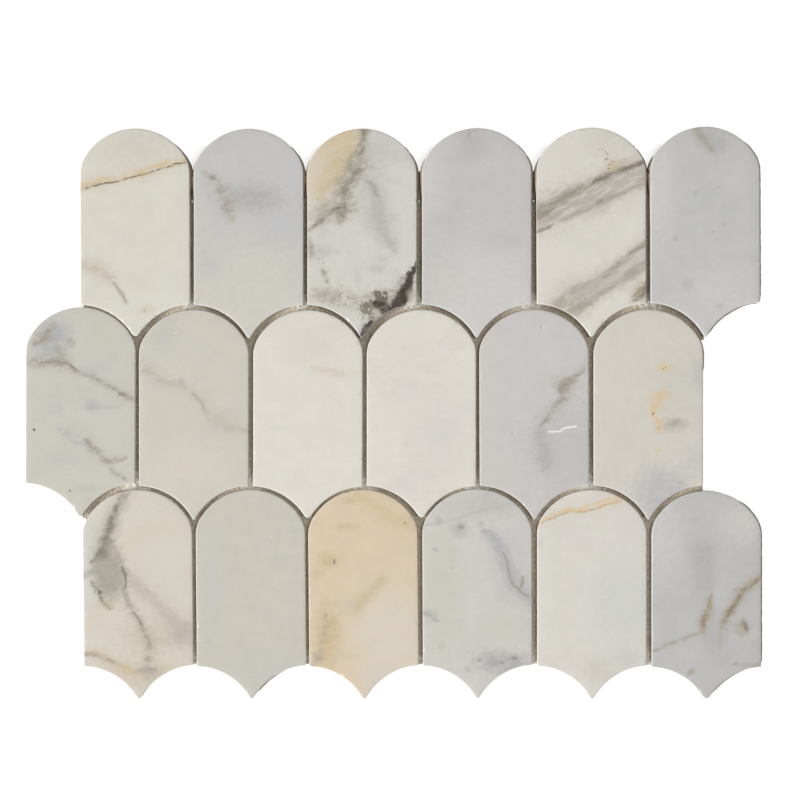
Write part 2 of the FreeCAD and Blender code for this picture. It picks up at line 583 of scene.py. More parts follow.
        # Painted highlight: the arris is mixed towards a paler colour, on its lit and its shaded side
        # alike.
        arris = add_node(tree, "MapRange", {
            "Value": tilt.outputs["Z"], "From Min": 0.995, "From Max": 0.9, "To Max": 0.5,
        })
        on_arris = add_node(
            tree, "MapRange", {"Value": tilt.outputs["Z"], "From Min": 0.1, "From Max": 0.4}
        )
        painted_highlight = add_node(tree, "Math", {0: arris, 1: on_arris}, operation="MULTIPLY")
        face = add_node(
            tree, "Mix", {0: painted_highlight, 6: grained, 7: linear(self.arris_highlight)}, data_type="RGBA"
        )
        face = add_node(tree, "Mix", {0: foot_darkening, 6: face, 7: linear(self.wall_foot_colour)}, data_type="RGBA")
        shader = add_node(tree, "BsdfPrincipled", {
            "Base Color": face,
            "Roughness": sheen,
            "IOR": self.ior,
            "Specular IOR Level": 0.28,
            "Normal": bump,
        })
        add_node(tree, "OutputMaterial", {0: shader})


IVORY_WITH_GOLD_SEAM = HonedMarble(
    "ivory_with_gold_seam",
    ground="#DCD8CC",
    cloud="#D5D1C5",
    features=(
        Stain((0, 14), (22, 11), "#D1CCC0", 0.7),
        Stain((6, -52), (20, 16), "#DEDBD0", 0.8),
        Vein(((-25, -3.2, 1.8), (-15, 0, 2), (-8, 0.8, 1.6), (-1, 2.4, 1.9), (6, 4.4, 2), (14, 7.2, 1.8),
              (25, 9, 1.2)), "#D7C19C", 0.8),
        Vein(((-25, -4.2, 0.9), (-15, -1.4, 0.8), (-8, -0.1, 0.5), (4, 2.6, 0.6), (14, 5.6, 0.6),
              (25, 8, 0.5)), "#CBB594", 0.6, core=0.2),
        Vein(((-22, -3.7, 0.15), (-15, -1.5, 0.3), (-8, -0.2, 0.28), (-1, 1.5, 0.15), (4, 2.7, 0.25),
              (10, 4.7, 0.3), (16, 6.4, 0.22), (22, 7.9, 0.2)), "#6B665C", 0.95, core=0.3, broken=0.4),
        Stain((-17, -38), (8, 4), "#D3C4AE", 0.55, turn=-15),
        Stain((3, -44), (9, 8), "#D9D0C0", 0.5),
        Vein(((-22, -37.5, 2.2), (-14, -41, 2.6), (-9, -44.5, 2), (-6.5, -49, 1.3), (-4, -53.5, 0.8)),
             "#C4BAAA", 0.65),
        Vein(((-9.5, -44.5, 0.5), (-6.8, -48, 0.7), (-5.6, -50.5, 0.7), (-4.2, -53, 0.4)), "#A39B8E", 0.6),
        Stain((5, -57), (5.5, 2.8), "#D6C4A9", 0.55, turn=10),
        Stain((4, -57.3), (0.9, 0.9), "#A9A091", 0.6),
    ),
    cloud_share=0.35,
    slot="marble_ivory",
)
LAVENDER_GREY_OVER_WARM = HonedMarble(
    "lavender_grey_over_warm",
    ground="#C9C7C5",
    cloud="#C1C1C2",
    features=(
        Stain((0, -53), (33, 33), "#D3CFC5", edge=0.7),
        Stain((-22, -20), (8, 22), "#CFCBC1", 0.6),
        Stain((2, -7), (18, 8), "#B4B2AF", 0.95, turn=-3, mottle=0.35),
        Stain((12, -21), (14, 6), "#C4C4C7", 0.6),
        Vein(((-20, 4, 0.6), (-16, 1.2, 2.4), (-12.5, -3, 2.8), (-10, -8, 2.6), (-8.6, -12.5, 3),
              (-7, -17, 1.2)), "#B1A99C", 0.6),
        Stain((-15.8, 1.4), (2, 1.5), "#978E7E", 0.8, turn=-30),
        Stain((-9.4, -11.6), (3.6, 3.6), "#A59D8E", 0.75, turn=20, mottle=0.6),
        Stain((-12.5, -3.5), (2.4, 4), "#A59D8E", 0.55, turn=30, mottle=0.6),
        Stain((-15, -37), (5, 8), "#C6C4C4", 0.4),
    ),
    cloud_share=0.45,
    slot="marble_blue_grey",
)
TAN_AND_BLACK_BRECCIA = HonedMarble(
    "tan_and_black_breccia",
    ground="#D6D3CB",
    cloud="#C9C6BE",
    features=(
        Stain((-13, 10), (10, 21), "#D5C2A0", turn=-24, edge=0.45),
        Stain((-20, 6), (5, 15), "#DACFC0", 0.8, turn=-12),
        Stain((8, 14), (7, 12), "#C1C0BA", 0.65, turn=-12),
        Stain((5, 2), (7, 8), "#C4C2BC", 0.6),
        Vein(((0.5, 25, 2.4), (0.2, 16, 2.2), (-2, 8, 4.6), (-5, 2, 4.8), (-8, -5, 5), (-8, -12, 4.2),
              (-10, -18, 1.5)), "#A9A292", 0.9, core=0.2),
        Stain((-3, 7), (3.4, 4), "#988F7F", 0.7, mottle=0.7),
        Stain((-8, -13), (3.2, 2.6), "#8F8676", 0.7, mottle=0.7),
        Vein(((0.8, 25, 1.2), (0.3, 18, 1), (-0.2, 12, 1.2), (-2.6, 5, 2.4), (-4.5, 0, 1.4),
              (-7.5, -4.5, 1.8), (-8, -8, 0.8), (-7.5, -13, 2), (-9.5, -16.5, 0.6)),
             "#8C8375", 0.75, broken=0.4),
        Vein(((-24, -22, 0.3), (-19.5, -18.6, 0.9), (-16.5, -16, 1.3), (-13.2, -13.6, 1),
              (-10, -12, 0.4)), "#7B7163", 0.9, core=0.15),
        Stain((-17, -13), (8, 5), "#AFA798", 0.75, turn=35),
        Vein(((2, 0, 1), (5, -4.5, 2.4), (6.5, -10, 3.6), (8, -17, 3.8), (10, -23, 3), (14.5, -31, 0.8)),
             "#B5B4B0", 0.85, haze=0.5, mottle=0.25),
        Vein(((3, -0.5, 0.5), (5.4, -3.4, 1.1), (7, -7, 0.5)), "#A29B8F", 0.6),
        Stain((6.5, -39), (4.5, 3), "#BEBDB9", 0.75),
        Stain((-2, -43), (2.2, 5), "#C3C2BE", 0.6),
        Stain((-22.5, -30), (2.2, 6), "#9D978B", 0.75),
        Vein(((-18, -38.5, 0.5), (-16.3, -41.5, 1.3), (-15, -45, 0.5)), "#958E82", 0.75),
        Stain((-16, -50), (9, 4.5), "#B8B3A9", 0.65),
        Stain((-12, -51), (14, 5.5), "#B0A898", 0.7, turn=-6, mottle=0.7),
        Breccia((-8, -52), (24, 8), "#8A8070", 2.8, 0.6, turn=-4),
        Breccia((-18, -33), (7, 16), "#9A9182", 3.0, 0.5, fill=0.46),
        Stain((4, -56), (8, 8), "#A39A8A", 0.55, turn=20, mottle=0.7),
        Stain((9, -52), (8, 6), "#8B8171", 0.65, turn=25, mottle=0.8),
        Stain((17.5, -49.5), (4.6, 10), "#857B6C", 0.7, turn=-28, mottle=0.6),
        Breccia((3, -56), (10, 9), "#756A59", 2.0, 0.85, turn=20, fill=0.58),
        Breccia((8, -51), (7, 6), "#665B4C", 1.8, 0.85, fill=0.64),
        Vein(((3.6, -63.6, 0.9), (6.4, -61.4, 0.8), (9, -59.8, 1.1), (12.6, -58.2, 1.4)),
             "#51463A", 0.95, core=0.3),
        Breccia((21.5, -42), (4, 9), "#564B3D", 1.6, 0.9, turn=-22, fill=0.62),
        Breccia((19, -52), (5, 6), "#564B3D", 1.6, 0.85, turn=-20, fill=0.58),
        Vein(((24.4, -35.5, 0.3), (22.8, -39.6, 0.9), (20.8, -44.3, 1.5), (18.4, -49.6, 2.5),
              (15.6, -55.2, 2.6), (14.6, -58, 2)), "#3C3227", core=0.75, haze=0.35, mottle=0.1),
        Vein(((6.4, -53.8, 1.2), (9, -55.6, 2.6), (11.8, -57.6, 2.8), (14, -59.4, 2)),
             "#40362A", core=0.65, mottle=0.15),
        Vein(((4, -62, 0.8), (2.4, -65, 1.7), (0.6, -68.6, 1.9), (-0.6, -71.5, 1.6)),
             "#40362A", core=0.6, haze=0.35, mottle=0.15),
        Stain((21.5, -50.5), (2.2, 3.6), "#B5AFA3", 0.8),
        Stain((6.3, -58), (2.4, 2.6), "#BDB8AD", 0.85),
    ),
    cloud_share=0.6,
    cloud_size=14.0,
    warp=1.6,
    slot="marble_dark_veined",
)
PLAIN_BLUE_GREY = HonedMarble(
    "plain_blue_grey",
    ground="#C7C5C2",
    cloud="#C1C0BE",
    features=(
        Stain((4, -52), (30, 30), "#D2CFCB", 0.95, edge=0.8),
        Stain((-21, 0), (9, 30), "#D0CDCA", 0.9),
        Stain((-16, -44), (12, 14), "#D0CDC6", 0.5),
        Stain((-2, 17), (8, 11), "#B8B7B4", 0.75),
        Stain((-3.4, 20), (1, 2.4), "#AFA898", 0.6),
        Stain((-16, -17), (9, 4), "#BABABC", 0.5, turn=10),
        Stain((12, -27), (12, 6), "#BCBCBA", 0.5),
        Stain((5, 7), (0.5, 0.5), "#E0DEDA", 0.8),
        Stain((-3.5, -13.5), (0.5, 0.5), "#E0DEDA", 0.8),
    ),
    cloud_share=0.5,
    slot="marble_blue_grey",
)
# Rust flecks across and above the upper band: x, y and size in chip millimetres
FLECKS: tuple[Point3, ...] = (
    (3.4, 13.3, 0.4), (4.8, 13.0, 0.6), (6.2, 12.1, 0.5), (7.4, 11.3, 0.75), (7.1, 9.2, 0.85),
    (9.9, 7.7, 0.6), (8.3, 6.6, 0.7), (10.6, 5.7, 0.5), (7.7, 4.7, 0.7), (6.2, 3.1, 0.6),
)
IVORY_WITH_SLATE_BANDS = HonedMarble(
    "ivory_with_slate_bands",
    ground="#DCD8CE",
    cloud="#D6D2C8",
    features=(
        Stain((8, 16), (16, 11), "#D1CDC3", 0.7),
        Vein(((-27, -19, 5), (-14, -12, 5.4), (0, -7, 5.8), (12, -1.5, 5.2), (27, 3, 5.6)),
             "#B9B3A9", 0.95, core=0.55),
        Vein(((-27, -16.5, 3.4), (-20, -13, 3.8), (-13, -8.5, 2.6), (-6, -4.8, 1.9), (0, -1.6, 1.4),
              (5, 1.2, 1.5), (10, 3.2, 1.6), (17, 5.6, 1.2), (26, 9.2, 1)), "#9A9080", 0.85, mottle=0.4),
        Stain((-21, -13.5), (7, 3), "#8C8170", 0.5, turn=27, mottle=0.4),
        Vein(((0, -1.6, 0.3), (5, 0.8, 0.6), (10, 2.9, 0.9), (16, 5, 0.8), (25, 8.8, 0.6)),
             "#766C5D", 0.85, mottle=0.3),
        Vein(((-14, -17.5, 0.8), (-7, -15.2, 1.3), (-1, -12.8, 1.8), (5, -9.8, 2.2), (12, -6.6, 1.2),
              (19, -3.6, 1), (27, -0.6, 0.9)), "#A9A195", 0.75, mottle=0.4),
        Vein(((-26, -23.6, 0.6), (-21, -21.6, 0.8), (-17, -19.6, 0.3)), "#8B8274", 0.8),
        Stain((3.6, -9.6), (2.6, 1.2), "#948A7B", 0.75, turn=25, mottle=0.4),
        Stain((14, 7.5), (9, 2.6), "#C4B9A5", 0.75, turn=22),
        Stain((9, 5.4), (5.2, 3), "#CFC0A2", 0.65, turn=25),
        Breccia((8.6, 6.4), (4.8, 5.4), "#C8AC80", 0.9, 0.7, turn=20, fill=0.52),
        *(Stain((x, y), (size, 0.8 * size), "#8C8069", 0.9, turn=30) for x, y, size in FLECKS),
        Vein(((-15, -55, 3.2), (-6, -49, 4), (2, -45, 3.2), (9, -40, 2.4), (15, -35.5, 2),
              (20, -30.5, 2), (27, -26, 2)), "#A69E90", 0.85, mottle=0.4),
        Vein(((-12, -60, 2.6), (-4, -55.2, 2.8), (4, -49.8, 2.2), (12, -45.2, 2.2), (18, -41.6, 2.2),
              (27, -36, 2.6)), "#9F9789", 0.85, mottle=0.4),
        Vein(((4, -46, 2.6), (13, -40.6, 3.2), (20, -36, 3), (27, -31.5, 2.6)), "#C2BDB4", 0.75, core=0.3),
        Vein(((5, -43, 0.4), (9, -40, 0.9), (14, -36.2, 1), (18, -32.2, 0.9), (23, -29, 0.6)),
             "#91887A", 0.6),
        Vein(((15, -41.6, 0.6), (20, -38.6, 1.4), (26, -34.8, 1.2)), "#968D80", 0.6),
        Stain((22, -48.6), (4.4, 6.2), "#CDBB9B", 0.8, turn=-20),
        Vein(((18.6, -53, 1.2), (20.6, -51, 2.6), (22.6, -48.4, 2.2), (24.6, -44.8, 0.8)), "#94897A", 0.85),
        Vein(((19.6, -52.6, 0.6), (21.2, -51.2, 1.3), (22.6, -49.6, 1), (23.6, -47.4, 0.4)),
             "#73685A", 0.8, broken=0.4),
    ),
    cloud_share=0.3,
    cloud_turn=27.0,
    drawn=2.6,
    warp=1.0,
    slot="marble_ivory",
)
BLUE_GREY_WITH_FRECKLES = HonedMarble(
    "blue_grey_with_freckles",
    ground="#C4C3C0",
    cloud="#BFBFBD",
    features=(
        Stain((-20, -4), (9, 36), "#D1CDCA", 0.9),
        Stain((6, -52), (20, 18), "#D0CCC9", 0.85),
        Stain((13, -1), (9, 9), "#CBC9C5", 0.5),
        Stain((14, -29), (7, 5), "#CAC9C3", 0.5),
        Stain((5, 15), (7, 7), "#B4B3B1", 0.95),
        Vein(((-4.4, 23, 0.9), (-2.2, 19.8, 2.3), (0.2, 16.4, 1.9), (3, 12.2, 0.8)),
             "#A79F91", 0.8, haze=0.5, mottle=0.25),
        Stain((-4, -6), (1.2, 1.4), "#ABABAB", 0.8),
        Stain((5.8, -3.5), (1, 1), "#B0B0B1", 0.7),
        Stain((8.2, -19.6), (1.6, 1.2), "#ABABAD", 0.7),
        Stain((3.2, -23.2), (0.9, 0.9), "#ADADAC", 0.7),
        Stain((-13.4, -26.4), (1, 1.2), "#A9A9AA", 0.7),
        Stain((5.8, -37.6), (1, 0.7), "#AFAFAC", 0.7),
        Stain((-6, -14.5), (3, 1), "#B6B3AC", 0.6),
        Stain((-7.6, -46.5), (3.4, 4), "#B3B3B3", 0.6),
        Stain((6, -56), (2.6, 1.8), "#B3B3B2", 0.6),
    ),
    cloud_share=0.5,
    slot="marble_blue_grey",
)
PALE_WITH_BLUE_SMOKE = HonedMarble(
    "pale_with_blue_smoke",
    ground="#CDCABF",
    cloud="#C7C5BE",
    features=(
        Stain((-13, 9), (10, 12), "#B1B2B5", 0.95, turn=-30, edge=0.9, mottle=0.4),
        Stain((12, 12), (12, 12), "#CCC8BB", 0.8),
        Stain((3, -24), (22, 5), "#D1CDC5", 0.7),
        Stain((12, -33), (12, 8), "#D1CDC7", 0.6),
        Vein(((-20.5, 6.5, 0.5), (-17.4, 8.8, 1.8), (-15, 11.2, 2), (-12, 14.5, 1.2)), "#A69A88", 0.85),
        Stain((-4, 7.2), (3.4, 2.8), "#B3AA9C", 0.7),
        Vein(((-10.5, 8, 0.6), (-9.4, 4.6, 1.2), (-7.6, 0.4, 1.6), (-6.4, -2, 0.6)), "#AEA799", 0.7),
        Vein(((-27, -1, 1.8), (-18, -1.4, 2.2), (-11, -0.8, 2.6), (-5.5, -2.4, 2.2), (-1.5, -5.4, 1.4),
              (4, -7, 1.4), (10, -10.2, 1.2), (15, -13, 1.2), (19, -15.4, 1.4), (24, -18, 0.8)),
             "#A8A195", 0.85),
        Vein(((-19, -2, 0.3), (-12.6, -0.8, 0.6), (-8, -1.2, 0.4), (-4, -3, 0.8), (-1.8, -5.2, 0.3)),
             "#82786A", 0.6, broken=0.42),
        Vein(((16.4, -14.2, 0.3), (18.4, -15.2, 0.8), (20.4, -16.2, 0.3)), "#938A7C", 0.7),
        Stain((7, -4), (9, 4), "#C0BFBE", 0.6),
        Stain((5, -20.4), (4.6, 3.6), "#B4B3B3", 0.75),
        Stain((12, -20.6), (8, 1.4), "#BBBBBA", 0.7),
        Stain((-10, -22), (4, 4), "#C0BFBE", 0.5),
        Stain((-20.6, -31), (0.75, 0.65), "#4F4942", edge=0.5),
        Vein(((-9, -31, 1), (-4, -33.5, 2.6), (0, -36, 3), (5, -40, 1.4)), "#BDBBB8", 0.8),
        Vein(((2.4, -35, 0.5), (5, -37.8, 1.5), (8, -41, 1.5), (11.5, -44.4, 1.5), (15.5, -44.4, 1.4),
              (20.5, -43, 0.5)), "#A39B8F", 0.85),
        Stain((-8, -44), (9, 5), "#C0BFBE", 0.5),
        Vein(((13, -47.6, 0.4), (16, -49.8, 1.3), (18.5, -51.4, 1.3), (21, -53, 0.5)), "#AFA9A0", 0.7),
        Stain((19.6, -52), (0.7, 0.5), "#6F665A", 0.8),
        Stain((-4.6, -57.6), (0.6, 0.6), "#746C62", 0.85),
        Stain((3, -56.4), (7, 1.8), "#BDBCBC", 0.6),
    ),
    cloud_share=0.5,
    slot="marble_pale_grey",
)
WARM_GREY_WITH_SOFT_SEAM = HonedMarble(
    "warm_grey_with_soft_seam",
    ground="#D0CCC0",
    cloud="#CBC8BF",
    features=(
        Stain((-13, 12), (7, 12), "#C5C4BF", 0.65, turn=-10),
        Stain((-3, -46), (26, 18), "#D9D1C3", 0.85),
        Stain((-14, -24), (10, 14), "#D3CCBE", 0.7),
        Vein(((-25, -1, 2.2), (-19, -4.6, 2.6), (-13, -9, 1.8), (-7, -9.8, 1.8), (-2, -12.6, 1.8),
              (2.6, -17, 1.8), (6, -22.6, 2.2), (12, -27.2, 3.2), (19, -30, 2.4), (27, -29, 1.6)),
             "#C1BBAF", 0.85),
        Vein(((-1, -13, 0.2), (2.4, -16.8, 0.6), (5, -21, 0.3)), "#B5AC9D", 0.6),
        Stain((-5.6, -8), (1.6, 1.2), "#ACA79D", 0.7, turn=50),
        Stain((15, -26), (6, 3.6), "#CDC0AE", 0.55),
        Stain((8, -38), (8, 2), "#C9C6BB", 0.5),
        Stain((-8, 12.5), (0.5, 0.5), "#E3E1DB", 0.9),
    ),
    cloud_share=0.4,
    slot="marble_pale_grey",
)
PLAIN_IVORY = HonedMarble(
    "plain_ivory",
    ground="#E0DCD1",
    cloud="#DAD6CA",
    features=(
        Stain((2, 8), (18, 14), "#D7D3C7", 0.7),
        Vein(((2, -2.6, 0.8), (9, -3.8, 1.6), (17, -4.8, 1.2), (25, -3.6, 0.6)), "#D8CBB7", 0.7),
        Stain((13, -6.2), (5, 1.4), "#CFCCC1", 0.55),
        Stain((-14, -28.8), (4, 1.2), "#D6D3C6", 0.6),
    ),
    cloud_share=0.3,
    cloud_turn=0.0,
    slot="marble_ivory",
)
PLAIN_IVORY_WITH_ROSE = HonedMarble(
    "plain_ivory_with_rose",
    ground="#E0DCD1",
    cloud="#D8D3CE",
    features=(
        Stain((8, -30), (16, 30), "#D8D3CE", 0.7),
        Stain((-6, 4), (12, 10), "#D9D4CF", 0.5),
        Stain((18, -60), (5, 5), "#D3CFCB", 0.6),
    ),
    cloud_share=0.55,
    cloud_turn=0.0,
    drawn=3.0,
    cloud_size=18.0,
    slot="marble_ivory",
)
LAVENDER_GREY_WITH_BROWN_SMOKE = HonedMarble(
    "lavender_grey_with_brown_smoke",
    ground="#CCC8C5",
    cloud="#C7C4C2",
    features=(
        Stain((-21, -6), (6, 34), "#D0CCC2", 0.8),
        Stain((15, -38), (22, 26), "#C0BFBC", 0.95, edge=0.8),
        Stain((-18, -50), (12, 12), "#CDC9C0", 0.6),
        Vein(((24, 0, 0.8), (20, -5, 2), (15.5, -8.6, 3.6), (12.6, -11.6, 4.2), (12, -16, 2),
              (9, -20.4, 2.2), (5, -25.4, 2.2), (2.6, -31, 1.4)), "#B0AAA2", 0.8),
        Stain((14, -9.6), (4.4, 4.4), "#A79D8F", 0.85, mottle=0.5),
        Stain((12.4, -17), (2.8, 4.6), "#B5AC9F", 0.7, turn=-20, mottle=0.5),
        Stain((4.4, -41), (3.6, 9), "#B0AFAC", 0.7, turn=8),
        Vein(((22, -3, 0.4), (18.4, -7, 1), (15, -9.4, 1.6), (12.4, -11.4, 2.4), (12.2, -16, 1.2),
              (9.2, -19.6, 0.5)), "#9D9385", 0.75),
        Vein(((6.6, -23.4, 0.3), (4.8, -25.4, 0.9), (2.8, -28.4, 0.4)), "#9A9185", 0.7),
        Vein(((2, -29, 1.4), (3.2, -36, 3), (4.4, -42, 3), (6, -49, 1.2)), "#B4B2AE", 0.8),
        Vein(((6, -30.8, 0.15), (9, -31, 0.45), (11.4, -30.6, 0.5), (13.2, -29.2, 0.45),
              (15.2, -28.8, 0.5), (18.6, -28.4, 0.15)), "#EDEBE6", core=0.3),
        # Painted shade and highlight of a small pit: dark on its left side, pale on its right.
        Stain((3.4, 15.2), (0.4, 0.9), "#7E7A74", 0.9),
        Stain((4.2, 15), (0.4, 0.8), "#E6E4E0", 0.9),
        Stain((-10, -31.5), (1, 1), "#AFAFAD", 0.6),
        Stain((14, -49), (0.6, 0.5), "#DEDCD7", 0.8),
    ),
    cloud_share=0.4,
    warp=1.0,
    slot="marble_blue_grey",
)
ROSE_GREY_WITH_GOLD_SPOTS = HonedMarble(
    "rose_grey_with_gold_spots",
    ground="#D4CFC5",
    cloud="#CDCABF",
    features=(
        Stain((14, -12), (14, 24), "#CBC8BC", 0.7),
        Stain((22, -6), (4, 9), "#BFBEBC", 0.7),
        Stain((6, -59), (16, 16), "#BCBCBB", 0.95, edge=0.8),
        Stain((20, -42), (7, 9), "#C9C6C4", 0.8),
        Stain((12, -27), (7, 3), "#A8A193", 0.85, turn=-6, mottle=0.4),
        Stain((8, -29), (6, 3), "#B7B1A5", 0.6),
        Stain((7.4, -2.6), (4.6, 2.8), "#DBC29A", 0.9, mottle=0.2),
        Stain((6.4, -3.2), (0.55, 0.5), "#6F685C", 0.95),
        Stain((7.8, -2.5), (0.5, 0.5), "#7A7265", 0.9),
        Vein(((6.4, -12.6, 1), (4.6, -16.4, 3), (2.8, -20, 2.6), (2.2, -23, 1.6), (4.4, -26, 1.6),
              (4.6, -31, 0.8)), "#DBC298", 0.9, haze=0.45, mottle=0.35),
        Stain((2.1, -23), (0.7, 0.7), "#7C7B78", 0.9),
        Stain((4.6, -29), (0.7, 0.6), "#8A8579", 0.8),
        Stain((4.2, -39), (2.4, 1.6), "#D8C4A0", 0.85),
        Stain((14.6, -53), (1.6, 1.6), "#B3A99A", 0.7),
    ),
    cloud_share=0.4,
    warp=0.9,
    slot="marble_pale_grey",
)
BEIGE_WITH_GREY_LENS = HonedMarble(
    "beige_with_grey_lens",
    ground="#D8D1C4",
    cloud="#DACDBA",
    features=(
        Stain((-22, -4), (5, 40), "#D5D3C9", 0.8),
        Stain((14, -4), (14, 16), "#D9D5CA", 0.6),
        Stain((0, -58), (26, 9), "#CDC2AE", 0.85),
        Vein(((-6, -14, 2.4), (0, -19.5, 3.6), (8, -27, 3.4), (15, -34, 4.2), (21, -39, 5),
              (27, -45, 5)), "#C3B9AC", 0.8, mottle=0.3),
        Stain((18, -41), (7, 8), "#B1AAA0", 0.6),
        Stain((5, -42), (15, 10), "#C8BAA4", 0.65),
        Vein(((-1, 26, 1.6), (-6, 19, 2.2), (-10.5, 11, 2.4), (-13, 4, 2.8), (-14.5, -3, 3.4),
              (-15, -9, 3)), "#A59E92", 0.85, core=0.2, mottle=0.4),
        Stain((-12.5, -14), (8, 12.5), "#AEA89B", 0.95, turn=6, edge=0.7, mottle=0.1),
        Stain((-13, -21), (6, 8), "#A5A195", 0.5, turn=20, edge=0.8, mottle=0.35),
        Stain((-11, -7), (4, 7), "#A09A90", 0.4, turn=20, edge=0.9, mottle=0.4),
        Stain((-21, -13.5), (6, 2.6), "#A29C91", 0.7, turn=20),
        Vein(((-8.6, 16, 0.6), (-10.6, 11, 1.3), (-12.2, 6.6, 1.5), (-13.4, 2, 1.4), (-15, -2.6, 1.8),
              (-17.6, -6, 1.6), (-20, -9, 0.5)), "#867C6E", 0.85, core=0.1, mottle=0.45),
        Stain((-15, -5.6), (2.2, 3), "#8C8478", 0.7, turn=20),
        Stain((-7.6, 18.6), (1.3, 0.9), "#8E867A", 0.85),
        Vein(((-20.5, -17, 0.4), (-17.4, -21.4, 1), (-15.8, -25.4, 1), (-12, -29, 0.4)), "#8A7F70", 0.85),
        Stain((-17.2, -21.8), (0.7, 0.9), "#655B4E", 0.85),
        Stain((-13, -28), (7, 2.4), "#C9B99E", 0.55),
        Vein(((-12, 2, 0.4), (-9, -4, 1.2), (-6.6, -10, 1.2), (-5.4, -15, 1.3), (-5.6, -22, 1.2),
              (-3.4, -28.6, 1.6), (0, -34.6, 1.6), (3.6, -41, 1.4), (5, -46, 1.4), (4, -51, 1.6),
              (4.6, -56, 2.6)), "#A49B8F", 0.75, haze=0.5),
        Vein(((-7, -10.6, 0.3), (-5.7, -13.6, 0.8), (-5.4, -16.6, 0.6), (-5.6, -20, 0.3)), "#7D7467", 0.65),
        Vein(((-2.4, -30.4, 0.3), (-0.4, -33.4, 0.6), (1.6, -36.6, 0.4)), "#8E8578", 0.6),
        Stain((4, -56.6), (7, 2.2), "#A8A095", 0.75),
        Vein(((-26, -48.2, 1.6), (-19, -48.8, 1.6), (-13.4, -51.2, 1.6), (-7, -54.6, 1.4),
              (-1, -57, 0.8)), "#CDB894", 0.8),
        Vein(((-24, -49.2, 0.6), (-18, -49.6, 1), (-13, -51.8, 0.9), (-8, -54, 0.4)), "#ABA397", 0.75),
    ),
    cloud_share=0.55,
    warp=1.2,
    slot="marble_tan",
)
PLAIN_COOL_GREIGE = HonedMarble(
    "plain_cool_greige",
    ground="#CCC8BC",
    cloud="#CECABE",
    features=(
        Stain((-17, -20), (6, 26), "#C8C7C3", 0.7),
        Stain((4, -56), (20, 12), "#C9C6C1", 0.7),
        Stain((20, 5), (4, 2.2), "#C0C0BD", 0.7),
        Stain((-18.4, -43), (2, 2.4), "#C1C0BC", 0.6),
        Stain((9.3, 2.6), (0.5, 0.5), "#E0DED8", 0.85),
        Stain((10.2, -18.8), (0.5, 0.5), "#DDDBD4", 0.7),
        Stain((-2.2, -47), (0.6, 1.2), "#BDBCB8", 0.6),
    ),
    cloud_share=0.5,
    slot="marble_pale_grey",
)
PEACH_TAN = HonedMarble(
    "peach_tan",
    ground="#DCCAAF",
    cloud="#DACBB3",
    features=(
        Stain((12, -42), (20, 26), "#DBD1C1", turn=10, edge=0.75),
        Stain((6, -62), (12, 9), "#D7D1C5", 0.8),
        Vein(((-3, 21, 1.4), (3, 17.8, 2.2), (8, 14.4, 2.4), (13, 10.6, 3), (18, 8.6, 3.4),
              (27, 5.4, 3)), "#D3BF9C", 0.9, mottle=0.3),
        Stain((-5, 18), (5, 2.2), "#CDBA97", 0.85),
        Stain((-7, 6.8), (7, 2.2), "#CCBA98", 0.85),
        Stain((-15, -8), (6, 5), "#CBB893", 0.9),
        Stain((-20, -14), (4, 3), "#CDBB98", 0.7),
        Stain((-12.8, -8.4), (0.65, 1.5), "#77726A"),
        Stain((18.2, 8.3), (0.7, 0.6), "#857D70", 0.9),
        Stain((-16, -41), (7.5, 18), "#CBB791", 0.95, turn=-4),
        Vein(((-17.4, -29, 0.3), (-16.6, -36, 0.9), (-18, -43, 0.8), (-20.6, -50, 1), (-22, -54, 0.6)),
             "#A8A59D", 0.7, broken=0.47),
        Stain((-20.6, -50.6), (3.4, 3), "#A59D8F", 0.6),
        Stain((-10, -50), (7, 3), "#D2C1A2", 0.7),
        Vein(((-3, -29, 2.4), (1, -24.6, 2), (5, -20, 1.8), (9, -15.6, 1.6)),
             "#CAB998", 0.8, haze=0.6, mottle=0.2),
        Stain((-8, -28), (7, 5), "#D1C4B0", 0.45),
    ),
    cloud_share=0.45,
    slot="marble_tan",
)
